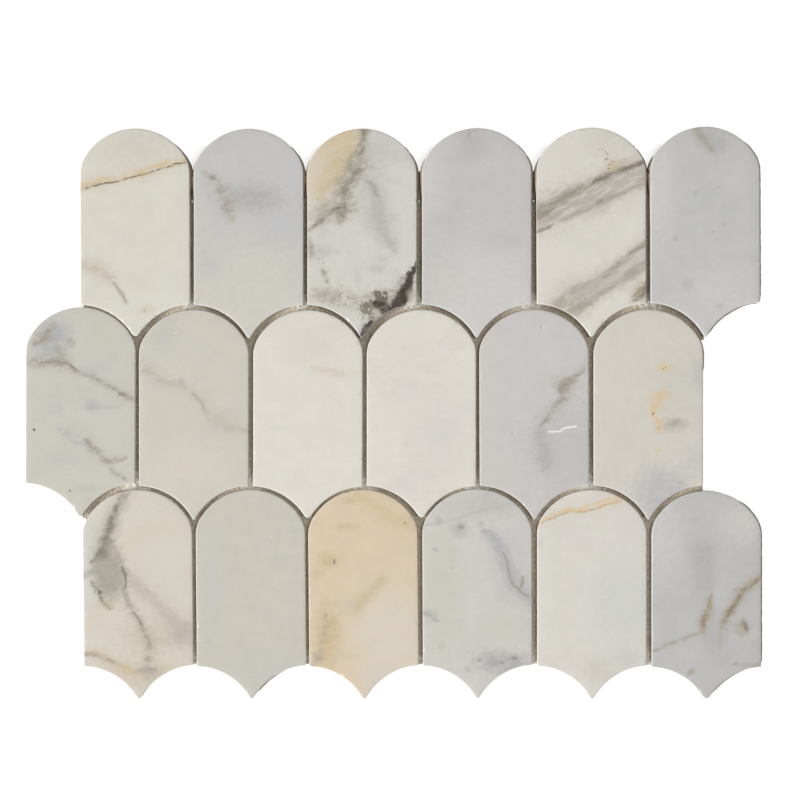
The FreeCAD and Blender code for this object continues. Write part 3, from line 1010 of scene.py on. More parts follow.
PALE_WITH_BLUE_CLOUDS = HonedMarble(
    "pale_with_blue_clouds",
    ground="#D0CDC6",
    cloud="#CBC9C4",
    features=(
        Stain((4, 16), (20, 9), "#BDBCB8", 0.75),
        Stain((4, 20), (3, 4), "#BAB9B5", 0.6),
        Stain((18, 0), (9, 14), "#CBC8C7", 0.8),
        Stain((-15, -20), (10, 36), "#CBC7B9", 0.8),
        Stain((12, -38), (14, 10), "#CBC8BD", 0.6),
        Stain((-7.4, 5.2), (5.2, 4.6), "#B8B6B2", 0.8),
        Stain((-7.1, 6.6), (1.8, 1.4), "#958B7D", 0.85),
        Stain((-17, 9.6), (1.8, 2.8), "#B2B1B2", 0.75),
        Stain((2, 8), (1.6, 1.6), "#B3AB9E", 0.6),
        Vein(((-25, 7.4, 0.5), (-14, 8.6, 0.8), (0, 13, 0.7), (10, 15.4, 0.8), (25, 16.4, 0.5)),
             "#BEBBB2", 0.6),
        Stain((-18.4, -3.4), (1.6, 1.4), "#ADACAB", 0.7),
        Stain((-11, -12), (1, 0.9), "#B6B5B3", 0.6),
        Vein(((3, 4.6, 1.4), (8, 0.6, 3), (11, -5, 4), (14, -12, 4.6), (17, -18.6, 5), (21, -23, 4),
              (27, -28, 3)), "#B4B3B5", 0.85, mottle=0.15),
        Vein(((3, 4, 0.6), (7, 0.8, 1.3), (9.8, -2.8, 1.3), (11.6, -6, 0.6)),
             "#ADADB0", 0.6, haze=0.5, mottle=0.5),
        Vein(((11.4, -4.6, 0.3), (13, -8.4, 0.6), (14.2, -13, 0.7), (15.6, -18.2, 0.8),
              (18.4, -21.4, 0.8), (21.6, -23.8, 0.8), (26, -27, 0.6)), "#A39A87", 0.8, broken=0.36),
        Vein(((19.8, -15.4, 0.4), (19.6, -18, 0.8), (18.4, -21, 0.6)), "#A0967F", 0.75),
        Vein(((-25, -31, 1.2), (-20.6, -32.6, 1.8), (-17.4, -34.4, 0.8)), "#ABAAA8", 0.8),
        Stain((-15.4, -46), (2, 2), "#BAB9B4", 0.6),
        Stain((11, -53), (15, 6.5), "#ABABAB", mottle=0.4),
        Stain((-4.6, -56), (2, 2), "#B0AFAD", 0.7),
        Stain((1, -52), (1.2, 0.9), "#968D80", 0.75),
        Stain((11, -53.4), (1.2, 0.8), "#968E84", 0.75),
        Stain((16, -51.2), (1.6, 0.9), "#90887C", 0.7),
    ),
    cloud_share=0.4,
    warp=0.9,
    curl=0.5,
    slot="marble_pale_grey",
)
IVORY_WITH_GOLD_HAIRLINE = HonedMarble(
    "ivory_with_gold_hairline",
    ground="#DAD6CE",
    cloud="#D8D3CD",
    features=(
        Stain((14, -28), (18, 24), "#D1D2CB", 0.95, edge=0.8),
        Stain((-21, -20), (5, 34), "#DCD9CE", 0.8),
        Stain((16, 8), (10, 10), "#D6D1CA", 0.6),
        Stain((4, -56), (10, 7), "#CDC9BE", 0.8),
        Stain((16, -51), (8, 6), "#CBC8C6", 0.7),
        Vein(((-25, 7.6, 0.8), (-18, 10.6, 1.6), (-11, 13.4, 1.7), (-4, 14.2, 1.7), (2, 16, 2.2),
              (8, 17.8, 2), (15, 19.4, 1.4), (21, 21, 0.8)), "#DBC199", 0.9),
        Vein(((-24, 7.9, 0.2), (-17, 10.4, 0.25), (-10, 12.9, 0.25), (-3, 13.3, 0.28), (4, 15.4, 0.28),
              (11, 17.8, 0.22), (19, 19.6, 0.15)), "#A08E70", 0.7, broken=0.44),
        Stain((-23, -0.5), (2.6, 3), "#CDCBC6", 0.7),
    ),
    cloud_share=0.35,
    slot="marble_ivory",
)
BLUE_GREY_WITH_RUST_SEAMS = HonedMarble(
    "blue_grey_with_rust_seams",
    ground="#C0BFBD",
    cloud="#B8B7B5",
    features=(
        Stain((-19, 4), (11, 26), "#CFCCC9", 0.9),
        Stain((15, 9), (11, 11), "#CECCC6", 0.9),
        Stain((-1, -4), (8, 8), "#AEADAB", 0.7),
        Stain((-1, -15), (7, 13), "#B0AFAD", 0.7),
        Stain((17, -24), (6, 8), "#B7B6B3", 0.5),
        Stain((-5, 10.4), (3, 2.4), "#B5B4B5", 0.7),
        Stain((-9, -48), (13, 5), "#C6C4BE", 0.6, turn=12),
        Stain((4, -41), (9, 13), "#B3B2B1", 0.7),
        Vein(((2.2, -22, 0.5), (1.6, -26.4, 1.4), (0.2, -31, 1.8), (-1.4, -35, 1.9), (-1.2, -40, 0.6)),
             "#ADA28B", 0.9, core=0.2, haze=0.5, mottle=0.3),
        Vein(((1.8, -24, 0.3), (0.6, -28.6, 0.9), (-1, -32, 1.2), (-1.2, -35.6, 0.9), (-1, -38, 0.3)),
             "#93866F", 0.8, mottle=0.7),
        Vein(((-1, -38.4, 0.6), (-6, -40.2, 0.7), (-11, -42.2, 0.8), (-14.4, -43.4, 0.9),
              (-18, -45, 0.8), (-25, -48, 0.7)), "#A79D87", 0.8, broken=0.47),
        Vein(((26, -13.6, 1.4), (21.6, -16.6, 1.8), (17, -20.4, 2), (14, -23.6, 1.8), (11.4, -28.4, 1.7),
              (8.4, -32.8, 1.6), (6.4, -37.4, 0.6)), "#AA9F89", 0.9, core=0.2, haze=0.5, mottle=0.3),
        Vein(((23, -15.8, 0.8), (20, -18.6, 0.4), (15.6, -21.4, 0.9), (13.8, -25, 1), (11.2, -28.8, 1.2),
              (8.8, -32, 1), (7.2, -35, 0.4)), "#8C7E67", 0.85, broken=0.3, mottle=0.7),
        Stain((12.8, -20.4), (1.8, 0.9), "#A39783", 0.75, turn=15),
        Stain((22, -16.3), (1, 0.9), "#8B7F6C", 0.8),
        Vein(((6.2, -38, 0.5), (5.9, -42, 0.8), (6, -47, 0.4)), "#B2AB9D", 0.6),
        Stain((15.8, -37), (4.6, 4.4), "#A99E8A", 0.85, turn=-30),
        Stain((16.6, -35.8), (1.5, 3.8), "#82745F", 0.9, turn=28, mottle=0.5),
        Stain((-6.6, -56.6), (2.4, 1.8), "#A2957D", 0.8, turn=40),
        Stain((12.6, -53), (1.6, 1.2), "#A3977F", 0.75),
        Vein(((11, -53.4, 0.4), (17, -53.6, 1), (26, -53.4, 0.8)), "#ABA28F", 0.65),
    ),
    cloud_share=0.55,
    warp=0.9,
    slot="marble_blue_grey",
)

MARBLES: tuple[tuple[HonedMarble, ...], ...] = (
    (
        IVORY_WITH_GOLD_SEAM,
        LAVENDER_GREY_OVER_WARM,
        TAN_AND_BLACK_BRECCIA,
        PLAIN_BLUE_GREY,
        IVORY_WITH_SLATE_BANDS,
        BLUE_GREY_WITH_FRECKLES,
    ),
    (
        PALE_WITH_BLUE_SMOKE,
        WARM_GREY_WITH_SOFT_SEAM,
        PLAIN_IVORY,
        PLAIN_IVORY_WITH_ROSE,
        LAVENDER_GREY_WITH_BROWN_SMOKE,
        ROSE_GREY_WITH_GOLD_SPOTS,
    ),
    (
        BEIGE_WITH_GREY_LENS,
        PLAIN_COOL_GREIGE,
        PEACH_TAN,
        PALE_WITH_BLUE_CLOUDS,
        IVORY_WITH_GOLD_HAIRLINE,
        BLUE_GREY_WITH_RUST_SEAMS,
    ),
)


@dataclass(frozen=True)
class LooseWovenGlass:
    """Alkali-proof glass fibre strands, woven open and coated with latex.

    The coating takes up dust and glue, so the strands are a dull grey brown with a weak sheen and
    fine filaments along them.
    """

    name: str = "coated_glass_fibre_strand"
    strand: str = "#A39A8A"
    dusty: str = "#7F7668"
    filament: float = 0.12
    dust_size: float = 3.0
    relief: float = 0.06

    def material(self) -> bpy.types.Material:
        """Builds the material.

        Returns:
            The material.
        """
        material, tree = new_material(self.name)
        place = add_node(tree, "TexCoord")
        filaments = add_node(tree, "TexNoise", {
            "Vector": place.outputs["Object"], "Scale": 1.0 / (self.filament * MM), "Detail": 2.0,
        })
        patches = add_node(tree, "TexNoise", {
            "Vector": place.outputs["Object"], "Scale": 1.0 / (self.dust_size * MM), "Detail": 4.0,
        })
        dust = add_node(tree, "MapRange", {"Value": patches, "From Min": 0.4, "From Max": 0.65})
        colour = add_node(
            tree, "Mix", {0: dust, 6: linear(self.strand), 7: linear(self.dusty)}, data_type="RGBA"
        )
        bump = add_node(tree, "Bump", {"Strength": 0.5, "Distance": self.relief * MM, "Height": filaments})
        shader = add_node(
            tree, "BsdfPrincipled", {"Base Color": colour, "Roughness": 0.62, "IOR": 1.5, "Normal": bump}
        )
        add_node(tree, "OutputMaterial", {0: shader})
        return material


@dataclass(frozen=True)
class DriedGlue:
    """Water based mosaic glue, brushed on and dried: a putty grey film with a soft skin.

    It dries rough and mottled, brownish where it is thin over the net and took up dust, and
    whitish where it is thick.  On the beads up the walls it is a darker brown, a painted shadow.
    """

    name: str = "dried_putty_grey_glue"
    thin: str = "#C6BAA8"
    dusty: str = "#A09482"
    thick: str = "#DDD8CD"
    # the darker brown of the beads: a painted shadow along the chips' edges
    shadow_brown: str = "#9A8C77"
    mottle: float = 1.1
    relief: float = 0.3

    def material(self) -> bpy.types.Material:
        """Builds the material.

        Returns:
            The material.
        """
        material, tree = new_material(self.name)
        place = add_node(tree, "TexCoord")
        mottle = add_node(tree, "TexNoise", {
            "Vector": place.outputs["Object"],
            "Scale": 1.0 / (self.mottle * MM),
            "Detail": 5.0,
            "Roughness": 0.7,
        })
        share = add_node(tree, "MapRange", {"Value": mottle, "From Min": 0.4, "From Max": 0.62})
        film = add_node(
            tree, "Mix", {0: share, 6: linear(self.thin), 7: linear(self.dusty)}, data_type="RGBA"
        )
        frost_and_shadow = add_node(tree, "Attribute", attribute_name="frost_and_shadow")
        grainy = add_node(tree, "Math", {0: mottle, 1: frost_and_shadow.outputs["Fac"]}, operation="ADD")
        whitened = add_node(tree, "MapRange", {"Value": grainy, "From Min": 0.62, "From Max": 1.15})
        colour = add_node(tree, "Mix", {0: whitened, 6: film, 7: linear(self.thick)}, data_type="RGBA")
        # Below zero, on the beads, the colour goes to the darker brown of a painted shadow.
        painted_shadow = add_node(
            tree, "MapRange", {"Value": frost_and_shadow.outputs["Fac"], "From Min": -0.1, "From Max": -1.0}
        )
        colour = add_node(tree, "Mix", {0: painted_shadow, 6: colour, 7: linear(self.shadow_brown)}, data_type="RGBA")
        bump = add_node(tree, "Bump", {"Strength": 0.6, "Distance": self.relief * MM, "Height": mottle})
        shader = add_node(
            tree, "BsdfPrincipled", {"Base Color": colour, "Roughness": 0.7, "IOR": 1.46, "Normal": bump}
        )
        add_node(tree, "OutputMaterial", {0: shader})
        return material


@dataclass
class ChipShape:
    """The plan and the section that all the chips share, in millimetres."""

    width: float = 48.0
    crown_radius: float = 25.75
    haunch_radius: float = 14.0
    thickness: float = 9.5
    row_joint: float = 2.1
    flank_joint: float = 2.0
    row_pitch: float = 79.4
    net_thickness: float = 0.5
    arris: float = 0.38
    back_arris: float = 0.2
    tip_bulge: float = 0.6
    outline_step: float = 0.5
    shoulder: float = 2.9

    @property
    def haunch_centre(self) -> Point:
        """The centre of the right haunch, about the centre of the crown."""
        x = self.width / 2 - self.haunch_radius
        return x, math.sqrt((self.crown_radius - self.haunch_radius) ** 2 - x**2)

    @property
    def column_pitch(self) -> float:
        """From the middle of a chip to the middle of the next."""
        return self.width + self.flank_joint

    @property
    def scallop_radius(self) -> float:
        """The radius of the two scallops of the foot."""
        return self.crown_radius + self.row_joint

    def crown_reach(self, angle: float) -> float:
        """How far the edge of the crown or of its haunch is from the crown's centre.

        Args:
            angle: the direction to look in, from 0 to half a turn.

        Returns:
            The distance.
        """
        haunch_x, haunch_y = self.haunch_centre
        across, up = abs(math.cos(angle)), math.sin(angle)
        if math.atan2(up, across) >= math.atan2(haunch_y, haunch_x):
            return self.crown_radius
        on_ray = haunch_x * across + haunch_y * up
        return on_ray + math.sqrt(self.haunch_radius**2 - haunch_x**2 - haunch_y**2 + on_ray**2)

    def half_width_at(self, y: float) -> float:
        """Half the width of a chip at a height over its crown's centre.

        Args:
            y: the height.

        Returns:
            Half the width there.
        """
        haunch_x, haunch_y = self.haunch_centre
        if y <= haunch_y:
            return self.width / 2
        on_haunch = haunch_x + math.sqrt(max(0.0, self.haunch_radius**2 - (y - haunch_y) ** 2))
        on_crown = math.sqrt(max(0.0, self.crown_radius**2 - y**2))
        return min(on_haunch, on_crown)

    def outline(self, tip: Tip, inset: float) -> list[Point]:
        """The outline of a chip about the centre of its crown, anticlockwise from its right side.

        Every inset gives the same number of points, so that the rings of a chip's section join.

        Args:
            tip: how worn the tip is.
            inset: how far the outline is drawn in.

        Returns:
            The points.
        """
        half = self.width / 2 - inset
        radius = self.scallop_radius + inset
        middle = self.column_pitch / 2
        half_tip = tip.value / 2
        foot = math.acos((middle - half) / radius)
        end = math.acos((middle - half_tip) / radius)
        foot_y = radius * math.sin(foot) - self.row_pitch
        tip_y = radius * math.sin(end) - self.row_pitch
        haunch_x, haunch_y = self.haunch_centre
        spread = math.atan2(haunch_y, haunch_x)
        haunch = self.haunch_radius - inset
        haunch_count = self.steps_in(self.haunch_radius * spread)
        crown_count = self.steps_in(self.crown_radius * (math.pi - 2 * spread))
        flank_count = self.steps_in(self.row_pitch - self.scallop_radius + haunch_y)
        scallop_count = self.steps_in(self.width * 0.68)
        tip_count = 6
        right_haunch = arc((haunch_x, haunch_y), haunch, 0.0, spread, haunch_count)
        crown = arc((0.0, 0.0), self.crown_radius - inset, spread, math.pi - spread, crown_count)
        left_haunch = [(-x, y) for x, y in reversed(right_haunch)]
        flank = [haunch_y + (foot_y - haunch_y) * i / flank_count for i in range(1, flank_count)]
        scallop = arc((-middle, -self.row_pitch), radius, foot, end, scallop_count)
        tip_end = []
        for i in range(1, tip_count):
            across = -half_tip + 2 * half_tip * i / tip_count
            bulge = self.tip_bulge * half_tip * (1 - (across / half_tip) ** 2)
            tip_end.append((across, tip_y - bulge))
        return [
            *right_haunch[:-1],
            *crown[:-1],
            *left_haunch,
            *[(-half, y) for y in flank],
            *scallop,
            *tip_end,
            *[(-x, y) for x, y in reversed(scallop)],
            *[(half, y) for y in reversed(flank)],
        ]

    def steps_in(self, length: float) -> int:
        """How many steps of the outline there are in a length.

        Args:
            length: the length in millimetres.

        Returns:
            The number of steps.
        """
        return round(length / self.outline_step)


def arc(centre: Point, radius: float, start: float, end: float, count: int) -> list[Point]:
    """Points along an arc, its ends with them.

    Args:
        centre: the centre of the arc.
        radius: its radius.
        start: the angle where it starts.
        end: the angle where it ends.
        count: how many steps it has.

    Returns:
        The points.
    """
    angles = [start + (end - start) * i / count for i in range(count + 1)]
    return [(centre[0] + radius * math.cos(a), centre[1] + radius * math.sin(a)) for a in angles]


@dataclass
class MarbleChip:
    """One chip: its place from the frame, its worn mesh and its marble.

    A nick's reach and depth lie between two lengths in millimetres, and a share of the nicks is
    deep.  Worn inwards and worn down are the shares of the wear that go those ways.
    """

    row: int
    column: int
    turn: float
    tip: Tip
    marble: HonedMarble
    shape: ChipShape
    nicks: int = 16
    nick_reach: Point = (0.5, 1.5)
    nick_depth: Point = (0.05, 0.16)
    deep_nick: float = 0.15
    deep_share: float = 0.12
    worn_inwards: float = 0.7
    worn_down: float = 0.8
    wave: float = 0.05
    face_rings: tuple[float, ...] = (0.35, 1.1, 2.4, 4.4)
    face_fall: float = 0.14
    crown: Vector = field(init=False)
    rng: random.Random = field(init=False)

    def __post_init__(self) -> None:
        """Finds the centre of the crown from the box of the chip's node."""
        low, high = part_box(self.node)
        haunch_x, haunch_y = self.shape.haunch_centre
        angle = math.radians(abs(self.turn))
        reach = self.shape.haunch_radius + haunch_x * math.cos(angle) + haunch_y * math.sin(angle)
        x = low.x + reach * MM if self.turn >= 0 else high.x - reach * MM
        self.crown = Vector((x, high.y - self.shape.crown_radius * MM, 0.0))
        self.rng = random.Random(100 * self.row + self.column)

    @property
    def node(self) -> str:
        """The name of the chip's node in the frame."""
        return f"chip_row{self.row}_col{self.column}"

    def to_sheet(self, point: Point) -> Point:
        """Turns a point in chip millimetres into metres on the sheet.

        Args:
            point: where it is on the chip.

        Returns:
            Where it is on the sheet.
        """
        angle = math.radians(self.turn)
        x = point[0] * math.cos(angle) - point[1] * math.sin(angle)
        y = point[0] * math.sin(angle) + point[1] * math.cos(angle)
        return self.crown.x + x * MM, self.crown.y + y * MM

    def wear(self, outline: Sequence[Point]) -> list[float]:
        """How deep the arris is worn or nicked at each point of the outline, in millimetres.

        Args:
            outline: the outline's points.

        Returns:
            The depths.
        """
        step = self.shape.outline_step
        depths = []
        for x, y in outline:
            slow = noise.noise(Vector((x * 0.12, y * 0.12, self.row * 7.0 + self.column)))
            fast = noise.noise(Vector((x * 0.9, y * 0.9, self.row * 3.0 + self.column)))
            depths.append(0.03 + 0.03 * slow + 0.04 * fast)
        for _ in range(self.nicks):
            middle = self.rng.randrange(len(outline))
            reach = self.rng.uniform(*self.nick_reach)
            depth = self.rng.uniform(*self.nick_depth)
            depth += self.deep_nick if self.rng.random() < self.deep_share else 0.0
            span = math.ceil(reach / step)
            for k in range(-span, span + 1):
                share = max(0.0, 1.0 - (k * step / reach) ** 2)
                depths[(middle + k) % len(outline)] += depth * share * self.rng.uniform(0.75, 1.0)
        return depths

    def section(self) -> list[Point3]:
        """The rings of the chip's section from its back to its face.

        Returns:
            For each ring its inset, its height and how much of the wear it takes.
        """
        shape = self.shape
        base, top = shape.net_thickness, shape.net_thickness + shape.thickness
        rings = [
            (0.9, base, 0.0),
            (shape.back_arris, base, 0.0),
            (0.0, base + shape.back_arris, 0.0),
            (0.03, base + shape.thickness * 0.35, 0.0),
            (0.0, base + shape.thickness * 0.7, 0.0),
        ]
        steps = 6
        for i in range(steps + 1):
            angle = math.radians(90 * i / steps)
            inset = shape.arris * (1 - math.cos(angle))
            height = top - shape.arris * (1 - math.sin(angle))
            rings.append((inset, height, math.sin(angle) ** 0.7 if i else 0.0))
        worn, *even = [shape.arris + past for past in self.face_rings]
        rings.append((worn, top, 0.35))
        rings += [(inset, top, 0.0) for inset in even]
        edge = top - shape.arris
        return [
            (inset, height - self.sag(inset) * (height > edge), share) for inset, height, share in rings
        ]

    def sag(self, inset: float) -> float:
        """How far the honed face falls off towards its edge, in millimetres.

        Args:
            inset: how far from the edge.

        Returns:
            The fall.
        """
        share = max(0.0, 1.0 - inset / (self.shape.arris + self.face_rings[-1]))
        return self.face_fall * share**2

    def build(self) -> bpy.types.Object:
        """Builds the chip.

        Returns:
            Its object.
        """
        rings = self.section()
        edge = self.shape.outline(self.tip, 0.0)
        count = len(edge)
        depths = self.wear(edge)
        seed = self.row + 10.0 * self.column
        points: list[Point3] = []
        for inset, height, share in rings:
            plan = rounded(self.shape.outline(self.tip, inset))
            inner = rounded(self.shape.outline(self.tip, inset + 0.1))
            down = self.worn_down if inset < self.shape.arris + 0.2 else 0.0
            for (x, y), (inner_x, inner_y), depth in zip(plan, inner, depths):
                in_x, in_y = (inner_x - x) * 10, (inner_y - y) * 10
                sink = share * depth
                x += in_x * sink * self.worn_inwards
                y += in_y * sink * self.worn_inwards
                wave = self.wave * noise.noise(Vector((x * 0.08, y * 0.08, seed)))
                place = self.to_sheet((x - in_x * wave, y - in_y * wave))
                points.append((*place, (height - sink * down) * MM))
        faces = []
        for ring in range(len(rings) - 1):
            for i in range(count):
                j = (i + 1) % count
                low, high = ring * count, (ring + 1) * count
                faces.append((low + i, low + j, high + j, high + i))
        faces.append(tuple(reversed(range(count))))
        faces.append(tuple(range((len(rings) - 1) * count, len(rings) * count)))
        flats = (len(faces) - 2, len(faces) - 1)
        middle = Vector(self.to_sheet((0.0, self.shape.shoulder)))
        coat = self.marble.material(middle, self.turn)
        piece = mesh_object(f"marble_{self.node}", points, faces, coat, flats)
        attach(piece, "root")
        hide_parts(self.node)
        return piece


def rounded(points: Sequence[Point]) -> list[Point]:
    """Rounds the corners of a closed outline: each point goes to the mean of itself and its neighbours.

    Args:
        points: the outline.

    Returns:
        As many points, with the corners rounded.
    """
    near = zip([points[-1], *points], points, [*points[1:], points[0]])
    return [((a[0] + b[0] + c[0]) / 3, (a[1] + b[1] + c[1]) / 3) for a, b, c in near]


@dataclass
class NetBacking:
    """The net under the chips: leno pairs one way, flat strands the other, trimmed to the plan.

    Lengths are in millimetres.  Crimp is the share of the room for it that a strand rises and
    falls by, twist is how far a pair swings to the sides, and no piece is shorter than shortest.
    """

    sheet: bpy.types.Object
    pitch: float = 3.5
    strand_width: float = 0.42
    weft_width: float = 0.85
    strand_height: float = 0.2
    thickness: float = 0.5
    wander: float = 0.12
    twist: float = 0.26
    crimp: float = 0.6
    shortest: float = 2.0

    def runs(self, fixed: float, along_x: bool, low: float, high: float, plan: BVHTree) -> list[Point]:
        """The stretches of a thread's line that lie over the net's plan.

        Args:
            fixed: the thread's place across its line, in metres.
            along_x: whether the thread runs along x.
            low: where to begin looking.
            high: where to stop.
            plan: the net's solid.

        Returns:
            The start and the end of each stretch.
        """
        step = 0.5 * MM
        stretches = []
        start = None
        place = low
        while place < high:
            x, y = (place, fixed) if along_x else (fixed, place)
            inside = plan.ray_cast(Vector((x, y, -0.01)), Vector((0, 0, 1)))[0] is not None
            if inside and start is None:
                start = place
            if not inside and start is not None:
                stretches.append((start, place - step))
                start = None
            place += step
        return [(start, end) for start, end in stretches if end - start > self.shortest * MM]

    def strand(
        self,
        points: list[Point3],
        faces: list[tuple[int, ...]],
        centre: Sequence[Point3],
        along_x: bool,
        width: float,
    ) -> None:
        """Adds a flat strand with bevelled sides and closed ends.

        Args:
            points: the vertices so far.
            faces: the faces so far.
            centre: the middle of the strand, in metres.
            along_x: whether it runs along x.
            width: its width in millimetres.
        """
        first = len(points)
        half, rise = width * MM / 2, self.strand_height * MM / 2
        for x, y, z in centre:
            for side, up in ((-1, 0), (0, -1), (1, 0), (0, 1)):
                shift = side * half
                points.append((x, y + shift, z + up * rise) if along_x else (x + shift, y, z + up * rise))
        for i in range(len(centre) - 1):
            a, b = first + 4 * i, first + 4 * (i + 1)
            for k in range(4):
                m = (k + 1) % 4
                face = (a + k, a + m, b + m, b + k)
                faces.append(face if along_x else face[::-1])
        last = first + 4 * (len(centre) - 1)
        for cap in (range(first + 3, first - 1, -1), range(last, last + 4)):
            faces.append(tuple(cap) if along_x else tuple(reversed(cap)))

    def build(self) -> list[bpy.types.Object]:
        """Weaves the net.

        Returns:
            The weft and the warp, which is in two pieces.
        """
        mesh = self.sheet.data
        plan = BVHTree.FromPolygons(
            [vertex.co for vertex in mesh.vertices], [tuple(face.vertices) for face in mesh.polygons]
        )
        low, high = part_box("net_backing")
        material = LooseWovenGlass().material()
        pitch = self.pitch * MM
        middle = self.thickness * MM / 2
        lift = (self.thickness - self.strand_height) * MM / 2
        pieces = []
        points: list[Point3] = []
        faces: list[tuple[int, ...]] = []
        for row in range(math.floor(low.y / pitch), math.ceil(high.y / pitch) + 1):
            y = row * pitch
            for start, end in self.runs(y, True, low.x, high.x + pitch, plan):
                count = max(2, round((end - start) / (pitch / 2)))
                centre = []
                for i in range(count + 1):
                    x = start + (end - start) * i / count
                    z = middle + lift * self.crimp * math.cos(2 * math.pi * x / pitch) * (-1) ** row
                    wander = self.wander * MM * noise.noise(Vector((x * 60, row * 3.1, 0.0)))
                    centre.append((x, y + wander, z))
                self.strand(points, faces, centre, True, self.weft_width)
        pieces.append(mesh_object("net_weft", points, faces, material))
        for side in (-1, 1):
            points, faces = [], []
            for column in range(math.floor(low.x / pitch), math.ceil(high.x / pitch) + 1):
                x = (column + 0.5) * pitch
                for start, end in self.runs(x, False, low.y, high.y + pitch, plan):
                    count = max(2, round((end - start) / (pitch / 2)))
                    centre = []
                    for i in range(count + 1):
                        y = start + (end - start) * i / count
                        turn = math.pi * y / pitch
                        wander = self.wander * MM * noise.noise(Vector((column * 2.3, y * 60, 1.0)))
                        swung = x + wander + side * self.twist * MM * math.cos(turn)
                        centre.append((swung, y, middle + side * lift * self.crimp * math.sin(turn)))
                    self.strand(points, faces, centre, False, self.strand_width)
            name = "net_warp_left" if side < 0 else "net_warp_right"
            pieces.append(mesh_object(name, points, faces, material))
        for piece in pieces:
            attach(piece, "root")
            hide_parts("net_backing")
        return pieces


@dataclass(frozen=True)
class Bead:
    """A bead of glue on a wall, dark brown as a painted shadow, in chip millimetres over the crown's
    centre.

    It runs from low to high, grows over the length of its rise and thins out over that of its
    fade, and its width is how far it stands out at its widest.
    """

    low: float
    high: float
    width: float
    rise: float = 3.0
    fade: float = 3.0


